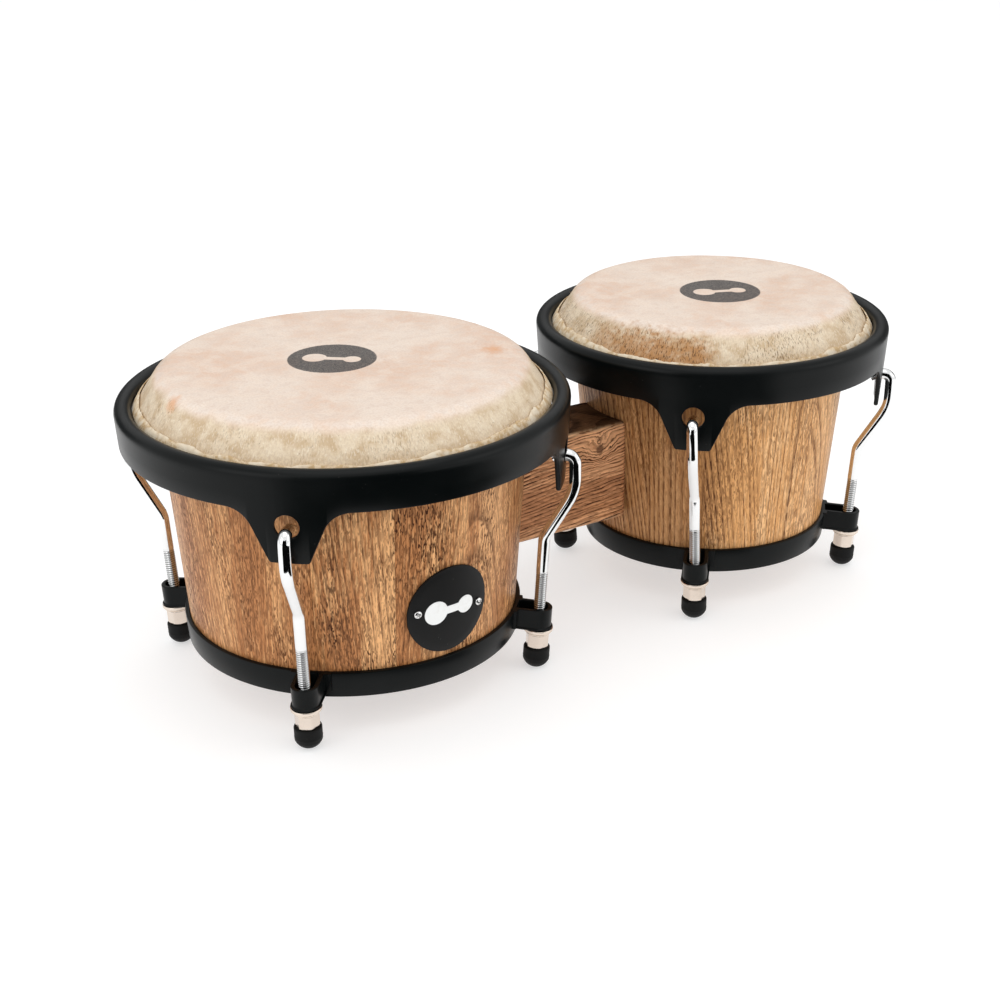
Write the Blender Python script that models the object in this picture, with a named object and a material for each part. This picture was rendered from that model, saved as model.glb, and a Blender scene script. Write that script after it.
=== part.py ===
"""A pair of bongo drums, one large and one small, joined by a wooden block.

Metres, +Z up. The rubber feet stand at z = 0, the block runs along X with the large drum
at -X, and the origin lies under the middle of the whole object.
"""

import math

import bmesh
import bpy
from mathutils import Matrix, Vector

MM = 0.001

# ---- driving dimensions -------------------------------------------------------------

RIM_SPACE = 19.1 * MM  # between the two rims, where they come closest
LARGE_HEAD_RADIUS = 97.0 * MM  # outside of the large shell at its top edge
SMALL_HEAD_RADIUS = 81.5 * MM
LARGE_TAPER = math.radians(4.2)
SMALL_TAPER = math.radians(5.0)
SHELL_HEIGHT = 144.5 * MM
SHELL_WALL = 10.0 * MM
EDGE_ROUND = 8.0 * MM  # radius of the bearing edge that the skin turns over

SKIN = 1.5 * MM
COLLAR_REACH = 10.0 * MM  # how far the skin spreads from the shell out to the hoop
COLLAR_DROP = 28.0 * MM  # from the playing surface down to the skin's lower edge
HOOP_WIDTH = 6.3 * MM
HOOP_HEIGHT = 6.0 * MM

RIM_SHEET = 2.4 * MM
RIM_LEAN = math.radians(3.7)  # the rim's wall and its ears draw in towards the bottom
RIM_HEIGHT = 21.0 * MM
RIM_BELOW_HEAD = 14.8 * MM  # from the playing surface down to the rim's crest
ROLL_WIDTH = 8.9 * MM  # the rolled top edge, across
EAR_DROP = 26.5 * MM  # how far an ear hangs below the rim
EAR_HALF_WIDTH = 9.9 * MM
EAR_SLANT = math.radians(24)
EAR_FILLET = 14.0 * MM
EAR_CORNER = 2.0 * MM
EAR_HOLE_RADIUS = 6.1 * MM
EAR_HOLE_ABOVE_TIP = 19.2 * MM

ROD_RADIUS = 3.175 * MM  # quarter-inch hook rods
ROD_LEAN = math.radians(3.7)  # the foot of each rod stands further in
HOOK_BEND = 4.6 * MM
HOOK_TAIL = 4.2 * MM  # how far the hook's end reaches behind the ear
HOOK_DIP = 1.6 * MM  # how far that end turns down
HOOK_OUTSIDE = 3.3 * MM  # from the rim's outside to the rod's centre
HOOK_SETBACK = 16.0 * MM  # how far the joggle brings the leg inwards
HOOK_UPRIGHT = 19.7 * MM  # from the top of the hook down to the joggle's upper corner
JOGGLE_HEIGHT = 27.3 * MM
JOGGLE_UPPER_BEND = 28.0 * MM
JOGGLE_LOWER_BEND = 10.0 * MM

FOOT_RADIUS = 7.1 * MM
FOOT_HEIGHT = 13.4 * MM
FOOT_DOME = 9.5 * MM
FOOT_SOLE = 2.8 * MM
NUT_ACROSS = 11.1 * MM
NUT_HEIGHT = 5.3 * MM
FLANGE_RADIUS = 6.9 * MM
FLANGE_HEIGHT = 1.1 * MM
WASHER_RADIUS = 8.0 * MM
WASHER_THICK = 1.6 * MM
LUG_ANGLE = math.radians(4.4)  # every lug sits this far round from the diagonals
LUG_RADIUS = 6.9 * MM
LUG_WALL = 2.2 * MM
LUG_HEIGHT = 12.0 * MM
LUG_PLATE = 1.5 * MM
LUG_LIP = 1.0 * MM
RING_HEIGHT = 14.0 * MM
RING_SHEET = 2.2 * MM

BLOCK_HEIGHT = 58.0 * MM
BLOCK_DEPTH = 41.0 * MM
BLOCK_CENTRE_Z = 79.4 * MM
BLOCK_CORNER = 6.0 * MM
BLOCK_EDGE = 2.5 * MM
BOLT_RADIUS = 4.0 * MM
BOLT_SPACING = 28.0 * MM
BOLT_HEAD_ACROSS = 13.0 * MM
BOLT_HEAD_HEIGHT = 5.3 * MM
BOLT_WASHER_RADIUS = 9.0 * MM
SEAT_DEPTH = 2.2 * MM  # flat seat cut into the inside of the shell

BADGE_RADIUS = 23.5 * MM
BADGE_THICK = 1.2 * MM
BADGE_CENTRE_Z = 62.8 * MM
BADGE_ANGLE = math.radians(-84.5)
SCREW_SPREAD = 18.2 * MM  # from the badge's centre to each screw
SCREW_TURN = math.radians(6)
SCREW_HEAD_RADIUS = 2.4 * MM
SCREW_SHANK_RADIUS = 1.3 * MM
SCREW_LENGTH = 6.0 * MM

# ---- clearances ---------------------------------------------------------------------

GAP = 0.3 * MM  # between pieces that touch on the real drums
ROD_PLAY = 0.5 * MM  # nut and washer round the rod, which leans while the rim drops straight
LUG_PLAY = 0.8 * MM
HOOP_PLAY = 0.5 * MM
RUNOFF = 10.0 * MM  # how far a cutter runs past what it cuts

ROUND_STEPS = 48
SMALL_STEPS = 12
QUARTER = math.pi / 2

# ---- heights and radii that follow --------------------------------------------------

NUT_BOTTOM = FOOT_HEIGHT + GAP
FLANGE_TOP = NUT_BOTTOM + NUT_HEIGHT + FLANGE_HEIGHT
WASHER_BOTTOM = FLANGE_TOP + GAP
LUG_BOTTOM = WASHER_BOTTOM + WASHER_THICK + GAP
SHELL_BOTTOM = LUG_BOTTOM
SHELL_TOP = SHELL_BOTTOM + SHELL_HEIGHT
HEAD_TOP = SHELL_TOP + GAP + SKIN
RIM_TOP = HEAD_TOP - RIM_BELOW_HEAD
RIM_BOTTOM = RIM_TOP - RIM_HEIGHT
EAR_TIP = RIM_BOTTOM - EAR_DROP
EAR_HOLE_Z = EAR_TIP + EAR_HOLE_ABOVE_TIP
HOOK_Z = EAR_HOLE_Z - EAR_HOLE_RADIUS + ROD_RADIUS + GAP + 0.05 * MM
RIM_SHOULDER = RIM_TOP - ROLL_WIDTH / 2
ROLL_LIP = RIM_SHOULDER - RIM_SHEET / 2
HOOP_TOP = ROLL_LIP - GAP
HOOP_BOTTOM = HOOP_TOP - HOOP_HEIGHT
EDGE_CENTRE_Z = SHELL_TOP - EDGE_ROUND


def rim_outer_of(head_radius):
    """The rim clears the hoop at the hoop's lower edge, where its leaning wall is tightest."""
    hoop_outer = head_radius + COLLAR_REACH + HOOP_WIDTH
    lean = (RIM_SHOULDER - HOOP_BOTTOM) * math.tan(RIM_LEAN)
    return hoop_outer + HOOP_PLAY + RIM_SHEET + lean


class Drum:
    """Where one drum stands, and the radii that its pieces share."""

    def __init__(self, name, centre_x, head_radius, taper):
        self.name = name
        self.centre_x = centre_x
        self.head_radius = head_radius
        self.taper = taper
        self.hoop_inner = head_radius + COLLAR_REACH
        self.hoop_outer = self.hoop_inner + HOOP_WIDTH
        self.rim_outer = rim_outer_of(head_radius)
        self.rod_bend_z = HOOK_Z - HOOK_UPRIGHT - JOGGLE_HEIGHT
        self.rod_bend_radius = self.rim_outer + HOOK_OUTSIDE - HOOK_SETBACK
        self.foot_radius = self.rod_bend_radius - self.rod_bend_z * math.tan(ROD_LEAN)

    def shell_outer(self, z):
        return self.head_radius - (SHELL_TOP - z) * math.tan(self.taper)

    def shell_inner(self, z):
        return self.shell_outer(z) - SHELL_WALL / math.cos(self.taper)

    def edge_centre(self):
        """The radius at which the bearing edge's rounding is centred."""
        return self.shell_outer(EDGE_CENTRE_Z) - EDGE_ROUND

    def rim_wall(self, z):
        """The outside of the rim's wall and ears."""
        return self.rim_outer - (RIM_SHOULDER - z) * math.tan(RIM_LEAN)

    def lug_angles(self):
        return [LUG_ANGLE + QUARTER / 2 + QUARTER * i for i in range(4)]

    def lug_frame(self, angle):
        """Origin on the rod's axis at floor level, Z up the rod, X away from the drum."""
        return (
            Matrix.Translation((self.centre_x, 0, 0))
            @ Matrix.Rotation(angle, 4, "Z")
            @ Matrix.Translation((self.foot_radius, 0, 0))
            @ Matrix.Rotation(ROD_LEAN, 4, "Y")
        )




# The two rims are the widest pieces, so they set the middle of the object.
DRUM_SPACING = rim_outer_of(LARGE_HEAD_RADIUS) + RIM_SPACE + rim_outer_of(SMALL_HEAD_RADIUS)
LARGE_X = (rim_outer_of(LARGE_HEAD_RADIUS) - rim_outer_of(SMALL_HEAD_RADIUS) - DRUM_SPACING) / 2
LARGE = Drum("large", LARGE_X, LARGE_HEAD_RADIUS, LARGE_TAPER)
SMALL = Drum("small", LARGE_X + DRUM_SPACING, SMALL_HEAD_RADIUS, SMALL_TAPER)

# ---- materials ----------------------------------------------------------------------

LOOKS = {
    "wood": ((0.30, 0.14, 0.06), 0.45, 0.0),
    "block_wood": ((0.22, 0.08, 0.04), 0.45, 0.0),
    "skin": ((0.75, 0.62, 0.48), 0.6, 0.0),
    "black_steel": ((0.02, 0.02, 0.02), 0.35, 0.6),
    "chrome": ((0.80, 0.80, 0.80), 0.08, 1.0),
    "nickel": ((0.70, 0.66, 0.60), 0.25, 1.0),
    "rubber": ((0.02, 0.02, 0.02), 0.8, 0.0),
    "black_plate": ((0.02, 0.02, 0.02), 0.5, 0.3),
    "hoop_steel": ((0.45, 0.45, 0.45), 0.4, 1.0),
}


def material(look):
    found = bpy.data.materials.get(look)
    if found:
        return found
    colour, roughness, metallic = LOOKS[look]
    made = bpy.data.materials.new(look)
    made.use_nodes = True
    shader = made.node_tree.nodes["Principled BSDF"]
    shader.inputs["Base Color"].default_value = (*colour, 1)
    shader.inputs["Roughness"].default_value = roughness
    shader.inputs["Metallic"].default_value = metallic
    return made


# ---- modelling helpers --------------------------------------------------------------


def clear_scene():
    for obj in list(bpy.data.objects):
        bpy.data.objects.remove(obj, do_unlink=True)


def object_from(name, bm, look, matrix=None):
    """An object from a closed bmesh, with its faces turned outwards."""
    bmesh.ops.recalc_face_normals(bm, faces=bm.faces)
    mesh = bpy.data.meshes.new(name)
    bm.to_mesh(mesh)
    bm.free()
    mesh.materials.append(material(look))
    mesh.shade_smooth()
    mesh.set_sharp_from_angle(angle=math.radians(35))
    obj = bpy.data.objects.new(name, mesh)
    bpy.context.collection.objects.link(obj)
    if matrix is not None:
        obj.matrix_world = matrix
    return obj


def loft(rings):
    """A closed ring-shaped body through rings of the same number of points, the last joined to the first."""
    bm = bmesh.new()
    loops = [[bm.verts.new(point) for point in ring] for ring in rings]
    for lower, upper in zip(loops, loops[1:] + loops[:1]):
        for i in range(len(lower)):
            j = (i + 1) % len(lower)
            bm.faces.new((lower[i], lower[j], upper[j], upper[i]))
    return bm


def circle(radius, z, steps, centre_x=0.0, shape=None):
    """Points round the Z axis. shape gives another radius at each angle."""
    points = []
    for i in range(steps):
        angle = 2 * math.pi * i / steps
        reach = shape(angle) if shape else radius
        points.append((centre_x + reach * math.cos(angle), reach * math.sin(angle), z))
    return points


def turned_ring(profile, steps):
    """A body turned round Z from a closed (radius, z) outline that stays clear of the axis."""
    return loft([circle(radius, z, steps) for radius, z in profile])


def turned_solid(profile, steps):
    """A body turned round Z from an open (radius, z) outline that starts and ends on the axis."""
    bm = bmesh.new()
    first = bm.verts.new((0, 0, profile[0][1]))
    last = bm.verts.new((0, 0, profile[-1][1]))
    loops = [[bm.verts.new(p) for p in circle(r, z, steps)] for r, z in profile[1:-1]]
    for i in range(steps):
        j = (i + 1) % steps
        bm.faces.new((first, loops[0][j], loops[0][i]))
        bm.faces.new((last, loops[-1][i], loops[-1][j]))
        for lower, upper in zip(loops, loops[1:]):
            bm.faces.new((lower[i], lower[j], upper[j], upper[i]))
    return bm


def arc(centre, radius, start, end, steps):
    """(steps + 1) points of an arc, angles in degrees."""
    points = []
    for i in range(steps + 1):
        angle = math.radians(start + (end - start) * i / steps)
        points.append((centre[0] + radius * math.cos(angle), centre[1] + radius * math.sin(angle)))
    return points


def rounded_path(corners, steps):
    """A polyline through (point, bend radius) corners, each bend drawn as an arc."""
    points = [Vector(corners[0][0])]
    for i in range(1, len(corners) - 1):
        before, here, after = (Vector(corners[k][0]) for k in (i - 1, i, i + 1))
        radius = corners[i][1]
        back = (before - here).normalized()
        on = (after - here).normalized()
        half = back.angle(on) / 2
        start = here + back * radius / math.tan(half)
        centre = here + (back + on).normalized() * radius / math.sin(half)
        arm = start - centre
        swing = (math.pi - 2 * half) * (1 if back.cross(on) > 0 else -1)
        for k in range(steps + 1):
            turn = Matrix.Rotation(-swing * k / steps, 2)
            points.append(centre + turn @ arm)
    points.append(Vector(corners[-1][0]))
    return points


def carve(obj, cutter, operation="DIFFERENCE"):
    """Cuts the cutter from the object, or joins it on, and clears the cutter away."""
    boolean = obj.modifiers.new("carve", "BOOLEAN")
    boolean.operation = operation
    boolean.solver = "EXACT"
    boolean.object = cutter
    graph = bpy.context.evaluated_depsgraph_get()
    mesh = bpy.data.meshes.new_from_object(obj.evaluated_get(graph), depsgraph=graph)
    obj.modifiers.clear()
    obj.data = mesh
    bpy.data.objects.remove(cutter, do_unlink=True)


def rod_cutter(radius, length, matrix, steps=SMALL_STEPS):
    """A round cutter along the matrix's Z, from its origin, turned so that no corner meets a seam."""
    outline = [(0, 0), (radius, 0), (radius, length), (0, length)]
    turned = matrix @ Matrix.Rotation(math.pi / steps / 2, 4, "Z")
    return object_from("cutter", turned_solid(outline, steps), "nickel", turned)


# ---- shells and heads ---------------------------------------------------------------


def make_shell(drum):
    """A tapered tube whose top edge is rounded, steeply outside and gently towards the inside."""
    profile = [
        (drum.shell_inner(SHELL_BOTTOM), SHELL_BOTTOM),
        (drum.shell_outer(SHELL_BOTTOM), SHELL_BOTTOM),
    ]
    profile += arc((drum.edge_centre(), EDGE_CENTRE_Z), EDGE_ROUND, 0, 90, 4)
    profile.append((drum.shell_inner(SHELL_TOP), SHELL_TOP - GAP))
    shell = object_from(drum.name + "_shell", turned_ring(profile, ROUND_STEPS), "wood")
    shell.location.x = drum.centre_x
    bpy.context.view_layer.update()
    return shell


def collar_turn(drum):
    """The angle, in degrees, at which the skin leaves the bearing edge for the hoop."""
    reach = drum.hoop_inner - GAP - SKIN - drum.edge_centre()
    drop = EDGE_CENTRE_Z - RIM_SHOULDER
    touch = math.acos((EDGE_ROUND + GAP) / math.hypot(reach, drop))
    return math.degrees(touch - math.atan2(drop, reach))


def head_outline(drum, thickness):
    """(radius, z) along one face of the skin, from the middle out and down to its lower edge."""
    hem = drum.hoop_inner - GAP - SKIN + thickness
    turn = arc(
        (drum.edge_centre(), EDGE_CENTRE_Z), EDGE_ROUND + GAP + thickness, 90, collar_turn(drum), 3
    )
    middle = (0, turn[0][1])
    return [middle] + turn + [(hem, RIM_SHOULDER), (hem, HEAD_TOP - COLLAR_DROP)]


def make_head(drum):
    outer = head_outline(drum, SKIN)
    inner = head_outline(drum, 0)
    profile = outer + inner[::-1]
    head = object_from(drum.name + "_head", turned_solid(profile, ROUND_STEPS), "skin")
    head.location.x = drum.centre_x
    return head


def make_hoop(drum):
    profile = [
        (drum.hoop_inner, HOOP_BOTTOM),
        (drum.hoop_outer, HOOP_BOTTOM),
        (drum.hoop_outer, HOOP_TOP),
        (drum.hoop_inner, HOOP_TOP),
    ]
    hoop = object_from(drum.name + "_flesh_hoop", turned_ring(profile, ROUND_STEPS), "hoop_steel")
    hoop.location.x = drum.centre_x
    return hoop


# ---- rims ---------------------------------------------------------------------------


def ear_edge():
    """(distance from the ear's middle, height above its tip) up one side of an ear."""
    slope = math.tan(EAR_SLANT)
    points = [(0.0, 0.0)]
    tuck = EAR_CORNER * math.tan((QUARTER - EAR_SLANT) / 2)
    start = EAR_HALF_WIDTH - tuck
    for share in (0, 1):
        angle = -QUARTER + (QUARTER - EAR_SLANT) * share
        points.append(
            (start + EAR_CORNER * math.cos(angle), EAR_CORNER + EAR_CORNER * math.sin(angle))
        )
    run = EAR_FILLET * math.tan((QUARTER - EAR_SLANT) / 2)
    meet = EAR_HALF_WIDTH + EAR_DROP * slope
    for share in (0, 1 / 3, 2 / 3, 1):
        angle = math.pi - EAR_SLANT - (QUARTER - EAR_SLANT) * share
        points.append(
            (
                meet + run + EAR_FILLET * math.cos(angle),
                EAR_DROP - EAR_FILLET + EAR_FILLET * math.sin(angle),
            )
        )
    return points


def rim_columns(drum):
    """(angle, bottom edge's z) round the rim, close together at the ears."""
    columns = {}
    for quarter in range(4):
        columns[QUARTER * quarter] = RIM_BOTTOM
    for middle in drum.lug_angles():
        for reach, height in ear_edge():
            for side in (-1, 1):
                angle = (middle + side * reach / drum.rim_outer) % (2 * math.pi)
                columns[angle] = EAR_TIP + height
    angles = sorted(columns)
    widest = 2 * math.pi / ROUND_STEPS
    for here, after in zip(angles, angles[1:] + [angles[0] + 2 * math.pi]):
        extra = math.ceil((after - here) / widest - 1e-6)
        low, high = columns[here], columns[after % (2 * math.pi)]
        for k in range(1, extra):
            columns[here + (after - here) * k / extra] = low + (high - low) * k / extra
    return sorted(columns.items())


def rim_section(drum, bottom):
    """The rim's cross-section as (radius, z), with its rolled top edge turned inwards."""
    outer = drum.rim_outer
    half = ROLL_WIDTH / 2
    section = [(drum.rim_wall(bottom), bottom), (outer, RIM_SHOULDER)]
    section += arc((outer - half, RIM_SHOULDER), half, 0, 180, 4)[1:]
    section.append((outer - ROLL_WIDTH, ROLL_LIP))
    section.append((drum.rim_wall(ROLL_LIP) - RIM_SHEET, ROLL_LIP))
    section.append((drum.rim_wall(bottom) - RIM_SHEET, bottom))
    return section


def make_rim(drum):
    columns = rim_columns(drum)
    sections = [rim_section(drum, bottom) for _, bottom in columns]
    rings = []
    for k in range(len(sections[0])):
        rings.append(
            [
                (section[k][0] * math.cos(angle), section[k][0] * math.sin(angle), section[k][1])
                for (angle, _), section in zip(columns, sections)
            ]
        )
    rim = object_from(drum.name + "_rim", loft(rings), "black_steel")
    for angle in drum.lug_angles():
        across = (
            Matrix.Rotation(angle, 4, "Z")
            @ Matrix.Translation((drum.rim_outer - RUNOFF, 0, EAR_HOLE_Z))
            @ Matrix.Rotation(QUARTER, 4, "Y")
        )
        carve(rim, rod_cutter(EAR_HOLE_RADIUS, 2 * RUNOFF, across, 16))
    rim.location.x = drum.centre_x
    return rim


# ---- bottom rings and lugs ----------------------------------------------------------


def stadium(radius, end, z, steps):
    """A loop round the rod: a half circle outside, and two straight legs in to x = -end."""
    points = []
    half = steps // 2
    for i in range(half + 1):
        angle = -QUARTER + math.pi * i / half
        points.append((radius * math.cos(angle), radius * math.sin(angle), z))
    for i in range(1, steps - half):
        share = i / (steps - half)
        y = radius * (1 - 2 * share)
        points.append((-end, y, z))
    return points


def lug_hole(radius, z, steps):
    """A circle with its points in the same order as a stadium's."""
    points = []
    half = steps // 2
    for i in range(steps):
        angle = -QUARTER + math.pi * i / half
        points.append((radius * math.cos(angle), radius * math.sin(angle), z))
    return points


def lug_body(end):
    """A strap lug in the rod's frame: a plate with a hole, and a wall round three sides."""
    steps = 14
    plate_top = LUG_BOTTOM + LUG_PLATE
    top = LUG_BOTTOM + LUG_PLATE + LUG_HEIGHT
    lip = LUG_RADIUS + LUG_LIP
    inner = LUG_RADIUS - LUG_WALL
    hole = ROD_RADIUS + LUG_PLAY
    return loft(
        [
            stadium(lip, end, LUG_BOTTOM, steps),
            stadium(lip, end, plate_top, steps),
            stadium(LUG_RADIUS, end, plate_top + GAP, steps),
            stadium(LUG_RADIUS, end, top, steps),
            stadium(inner, end - RING_SHEET / 2, top, steps),
            stadium(inner, end - RING_SHEET / 2, plate_top, steps),
            lug_hole(hole, plate_top, steps),
            lug_hole(hole, LUG_BOTTOM, steps),
        ]
    )


def make_bottom_ring(drum):
    top = SHELL_BOTTOM + RING_HEIGHT
    inner_low = drum.shell_outer(SHELL_BOTTOM) + GAP
    inner_high = drum.shell_outer(top) + GAP
    profile = [
        (inner_low, SHELL_BOTTOM),
        (inner_low + RING_SHEET, SHELL_BOTTOM),
        (inner_high + RING_SHEET, top),
        (inner_high, top),
    ]
    ring = object_from(drum.name + "_bottom_ring", turned_ring(profile, ROUND_STEPS), "black_steel")
    ring.location.x = drum.centre_x
    bpy.context.view_layer.update()
    lug_radius = drum.foot_radius + LUG_BOTTOM * math.tan(ROD_LEAN)
    end = lug_radius - inner_low - RING_SHEET / 2
    for angle in drum.lug_angles():
        lug = object_from("lug", lug_body(end), "black_steel", drum.lug_frame(angle))
        carve(ring, lug, "UNION")
    return ring


# ---- hooks, nuts, washers and feet --------------------------------------------------


def hook_corners(drum):
    """(radius, z) corners of a hook's centre line, with the bend at each."""
    ear_back = drum.rim_wall(HOOK_Z) - RIM_SHEET
    upright = drum.rim_outer + HOOK_OUTSIDE
    leg_foot = FOOT_SOLE + GAP
    low = (drum.foot_radius + leg_foot * math.tan(ROD_LEAN), leg_foot)
    return [
        ((ear_back - HOOK_TAIL, HOOK_Z - HOOK_DIP), 0),
        ((ear_back - HOOK_TAIL / 4, HOOK_Z), HOOK_BEND),
        ((upright, HOOK_Z), HOOK_BEND),
        ((upright, HOOK_Z - HOOK_UPRIGHT), JOGGLE_UPPER_BEND),
        ((drum.rod_bend_radius, drum.rod_bend_z), JOGGLE_LOWER_BEND),
        (low, 0),
    ]


def make_hook(drum, number, angle):
    curve = bpy.data.curves.new("hook", "CURVE")
    curve.dimensions = "3D"
    curve.bevel_depth = ROD_RADIUS
    curve.bevel_resolution = 2
    curve.use_fill_caps = True
    points = rounded_path(hook_corners(drum), 3)
    spline = curve.splines.new("POLY")
    spline.points.add(len(points) - 1)
    for knot, point in zip(spline.points, points):
        knot.co = (point.x, 0, point.y, 1)
    curve.materials.append(material("chrome"))
    hook = bpy.data.objects.new(f"{drum.name}_hook_{number}", curve)
    bpy.context.collection.objects.link(hook)
    hook.location.x = drum.centre_x
    hook.rotation_euler.z = angle
    return hook


def hexagon(across):
    """The radius of a hexagon at each angle, with a corner at angle zero."""

    def reach(angle):
        off = (angle + math.pi / 6) % (math.pi / 3) - math.pi / 6
        return across / 2 / math.cos(math.pi / 6 - abs(off))

    return reach


def make_nut(drum, number, angle):
    steps = SMALL_STEPS
    bore = ROD_RADIUS + ROD_PLAY
    shape = hexagon(NUT_ACROSS)
    chamfer = 0.5 * MM
    low = NUT_BOTTOM
    seat = NUT_BOTTOM + NUT_HEIGHT
    rings = [
        circle(NUT_ACROSS / 2 - chamfer / 2, low, steps),
        circle(0, low + chamfer, steps, shape=shape),
        circle(0, seat, steps, shape=shape),
        circle(FLANGE_RADIUS, seat + chamfer / 2, steps),
        circle(FLANGE_RADIUS, FLANGE_TOP, steps),
        circle(bore, FLANGE_TOP, steps),
        circle(bore, low, steps),
    ]
    name = f"{drum.name}_nut_{number}"
    return object_from(name, loft(rings), "nickel", drum.lug_frame(angle))


def make_washer(drum, number, angle):
    top = WASHER_BOTTOM + WASHER_THICK
    bore = ROD_RADIUS + ROD_PLAY
    profile = [
        (bore, WASHER_BOTTOM),
        (WASHER_RADIUS, WASHER_BOTTOM),
        (WASHER_RADIUS, top),
        (bore, top),
    ]
    name = f"{drum.name}_washer_{number}"
    return object_from(name, turned_ring(profile, SMALL_STEPS), "nickel", drum.lug_frame(angle))


def make_foot(drum, number, angle):
    """A rubber cap on the rod's end, open at the top and domed below."""
    bore = ROD_RADIUS + GAP
    edge = 0.8 * MM
    widest = math.asin(FOOT_RADIUS / FOOT_DOME)
    profile = [(0, 0)]
    for share in (0.35, 0.7, 1):
        turn = widest * share
        profile.append((FOOT_DOME * math.sin(turn), FOOT_DOME * (1 - math.cos(turn))))
    profile += [
        (FOOT_RADIUS, FOOT_HEIGHT - edge),
        (FOOT_RADIUS - edge, FOOT_HEIGHT),
        (bore, FOOT_HEIGHT),
        (bore, FOOT_SOLE),
        (0, FOOT_SOLE),
    ]
    name = f"{drum.name}_foot_{number}"
    return object_from(name, turned_solid(profile, SMALL_STEPS), "rubber", drum.lug_frame(angle))


def make_tuning_set(drum):
    for number, angle in enumerate(drum.lug_angles(), start=1):
        make_hook(drum, number, angle)
        make_nut(drum, number, angle)
        make_washer(drum, number, angle)
        make_foot(drum, number, angle)


# ---- centre block and its bolts -----------------------------------------------------


def shell_blank(drum):
    """A solid cone a gap wider than the shell, to shape the end of the block."""
    low = SHELL_BOTTOM - RUNOFF
    high = SHELL_TOP + RUNOFF
    outline = [
        (0, low),
        (drum.shell_outer(low) + GAP, low),
        (drum.shell_outer(high) + GAP, high),
        (0, high),
    ]
    place = Matrix.Translation((drum.centre_x, 0, 0))
    return object_from("blank", turned_solid(outline, ROUND_STEPS), "block_wood", place)


def block_end(drum, side):
    """The X where the block's front face would meet the shell, halfway up."""
    radius = drum.shell_outer(BLOCK_CENTRE_Z)
    return drum.centre_x + side * math.sqrt(radius**2 - (BLOCK_DEPTH / 2) ** 2)


def block_outline(inset):
    """The block seen from above: a rectangle with rounded corners, as (x, y)."""
    left = block_end(LARGE, 1) - GAP
    right = block_end(SMALL, -1) + GAP
    half = BLOCK_DEPTH / 2
    centres = [(right, 1), (left, 1), (left, -1), (right, -1)]
    points = []
    for k, (x, side) in enumerate(centres):
        inward = -1 if x == right else 1
        middle = (x + inward * BLOCK_CORNER, side * (half - BLOCK_CORNER))
        points += arc(middle, BLOCK_CORNER - inset, 90 * k, 90 * k + 90, 4)
    return points


def make_block():
    """A solid block with rounded edges, both ends hollowed to fit the shells."""
    low = BLOCK_CENTRE_Z - BLOCK_HEIGHT / 2
    high = BLOCK_CENTRE_Z + BLOCK_HEIGHT / 2
    corner = BLOCK_EDGE * (1 - math.sqrt(0.5))
    levels = [
        (low, BLOCK_EDGE),
        (low + corner, corner),
        (low + BLOCK_EDGE, 0),
        (high - BLOCK_EDGE, 0),
        (high - corner, corner),
        (high, BLOCK_EDGE),
    ]
    bm = bmesh.new()
    loops = [[bm.verts.new((x, y, z)) for x, y in block_outline(inset)] for z, inset in levels]
    for lower, upper in zip(loops, loops[1:]):
        for i in range(len(lower)):
            j = (i + 1) % len(lower)
            bm.faces.new((lower[i], lower[j], upper[j], upper[i]))
    bm.faces.new(loops[0])
    bm.faces.new(loops[-1])
    block = object_from("centre_block", bm, "block_wood")
    for drum in (LARGE, SMALL):
        carve(block, shell_blank(drum))
    for z in bolt_heights():
        carve(block, rod_cutter(BOLT_RADIUS + GAP, DRUM_SPACING, bolt_frame(LARGE.centre_x, z)))
    return block


def bolt_heights():
    return [BLOCK_CENTRE_Z - BOLT_SPACING / 2, BLOCK_CENTRE_Z + BOLT_SPACING / 2]


def bolt_frame(x, z):
    """Origin on a bolt's axis, Z along the bolt towards the small drum."""
    return Matrix.Translation((x, 0, z)) @ Matrix.Rotation(QUARTER, 4, "Y")


def seat_x(drum, z):
    """The X of the flat seat inside the shell, where a bolt's washer bears."""
    side = 1 if drum is LARGE else -1
    return drum.centre_x + side * (drum.shell_inner(z) + SEAT_DEPTH)


def drill_shell(drum, shell):
    """The bolts' holes through the shell's wall, and a flat seat for each washer."""
    for z in bolt_heights():
        hole = bolt_frame(drum.centre_x, z)
        seat = bolt_frame(seat_x(drum, z), z)
        deep = 2 * RUNOFF
        if drum is LARGE:
            seat = seat @ Matrix.Translation((0, 0, -deep))
        else:
            hole = hole @ Matrix.Rotation(math.pi, 4, "Y")
        carve(shell, rod_cutter(BOLT_RADIUS + GAP, drum.head_radius + RUNOFF, hole))
        carve(shell, rod_cutter(BOLT_WASHER_RADIUS + GAP, deep, seat, 16))


def make_bolt(number, z):
    """A hexagon-headed bolt from inside the large shell through to inside the small one."""
    head_seat = -(WASHER_THICK + 2 * GAP)
    reach = seat_x(SMALL, z) - seat_x(LARGE, z)
    end = reach + WASHER_THICK + 3 * GAP + BOLT_HEAD_HEIGHT + BOLT_RADIUS / 2
    steps = SMALL_STEPS
    shape = hexagon(BOLT_HEAD_ACROSS)
    rings = [
        circle(0, head_seat - BOLT_HEAD_HEIGHT, steps, shape=shape),
        circle(0, head_seat, steps, shape=shape),
        circle(BOLT_RADIUS, head_seat, steps),
        circle(BOLT_RADIUS, end, steps),
    ]
    bm = bmesh.new()
    loops = [[bm.verts.new(point) for point in ring] for ring in rings]
    for lower, upper in zip(loops, loops[1:]):
        for i in range(steps):
            j = (i + 1) % steps
            bm.faces.new((lower[i], lower[j], upper[j], upper[i]))
    bm.faces.new(loops[0])
    bm.faces.new(loops[-1])
    return object_from(f"block_bolt_{number}", bm, "nickel", bolt_frame(seat_x(LARGE, z), z))


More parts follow.
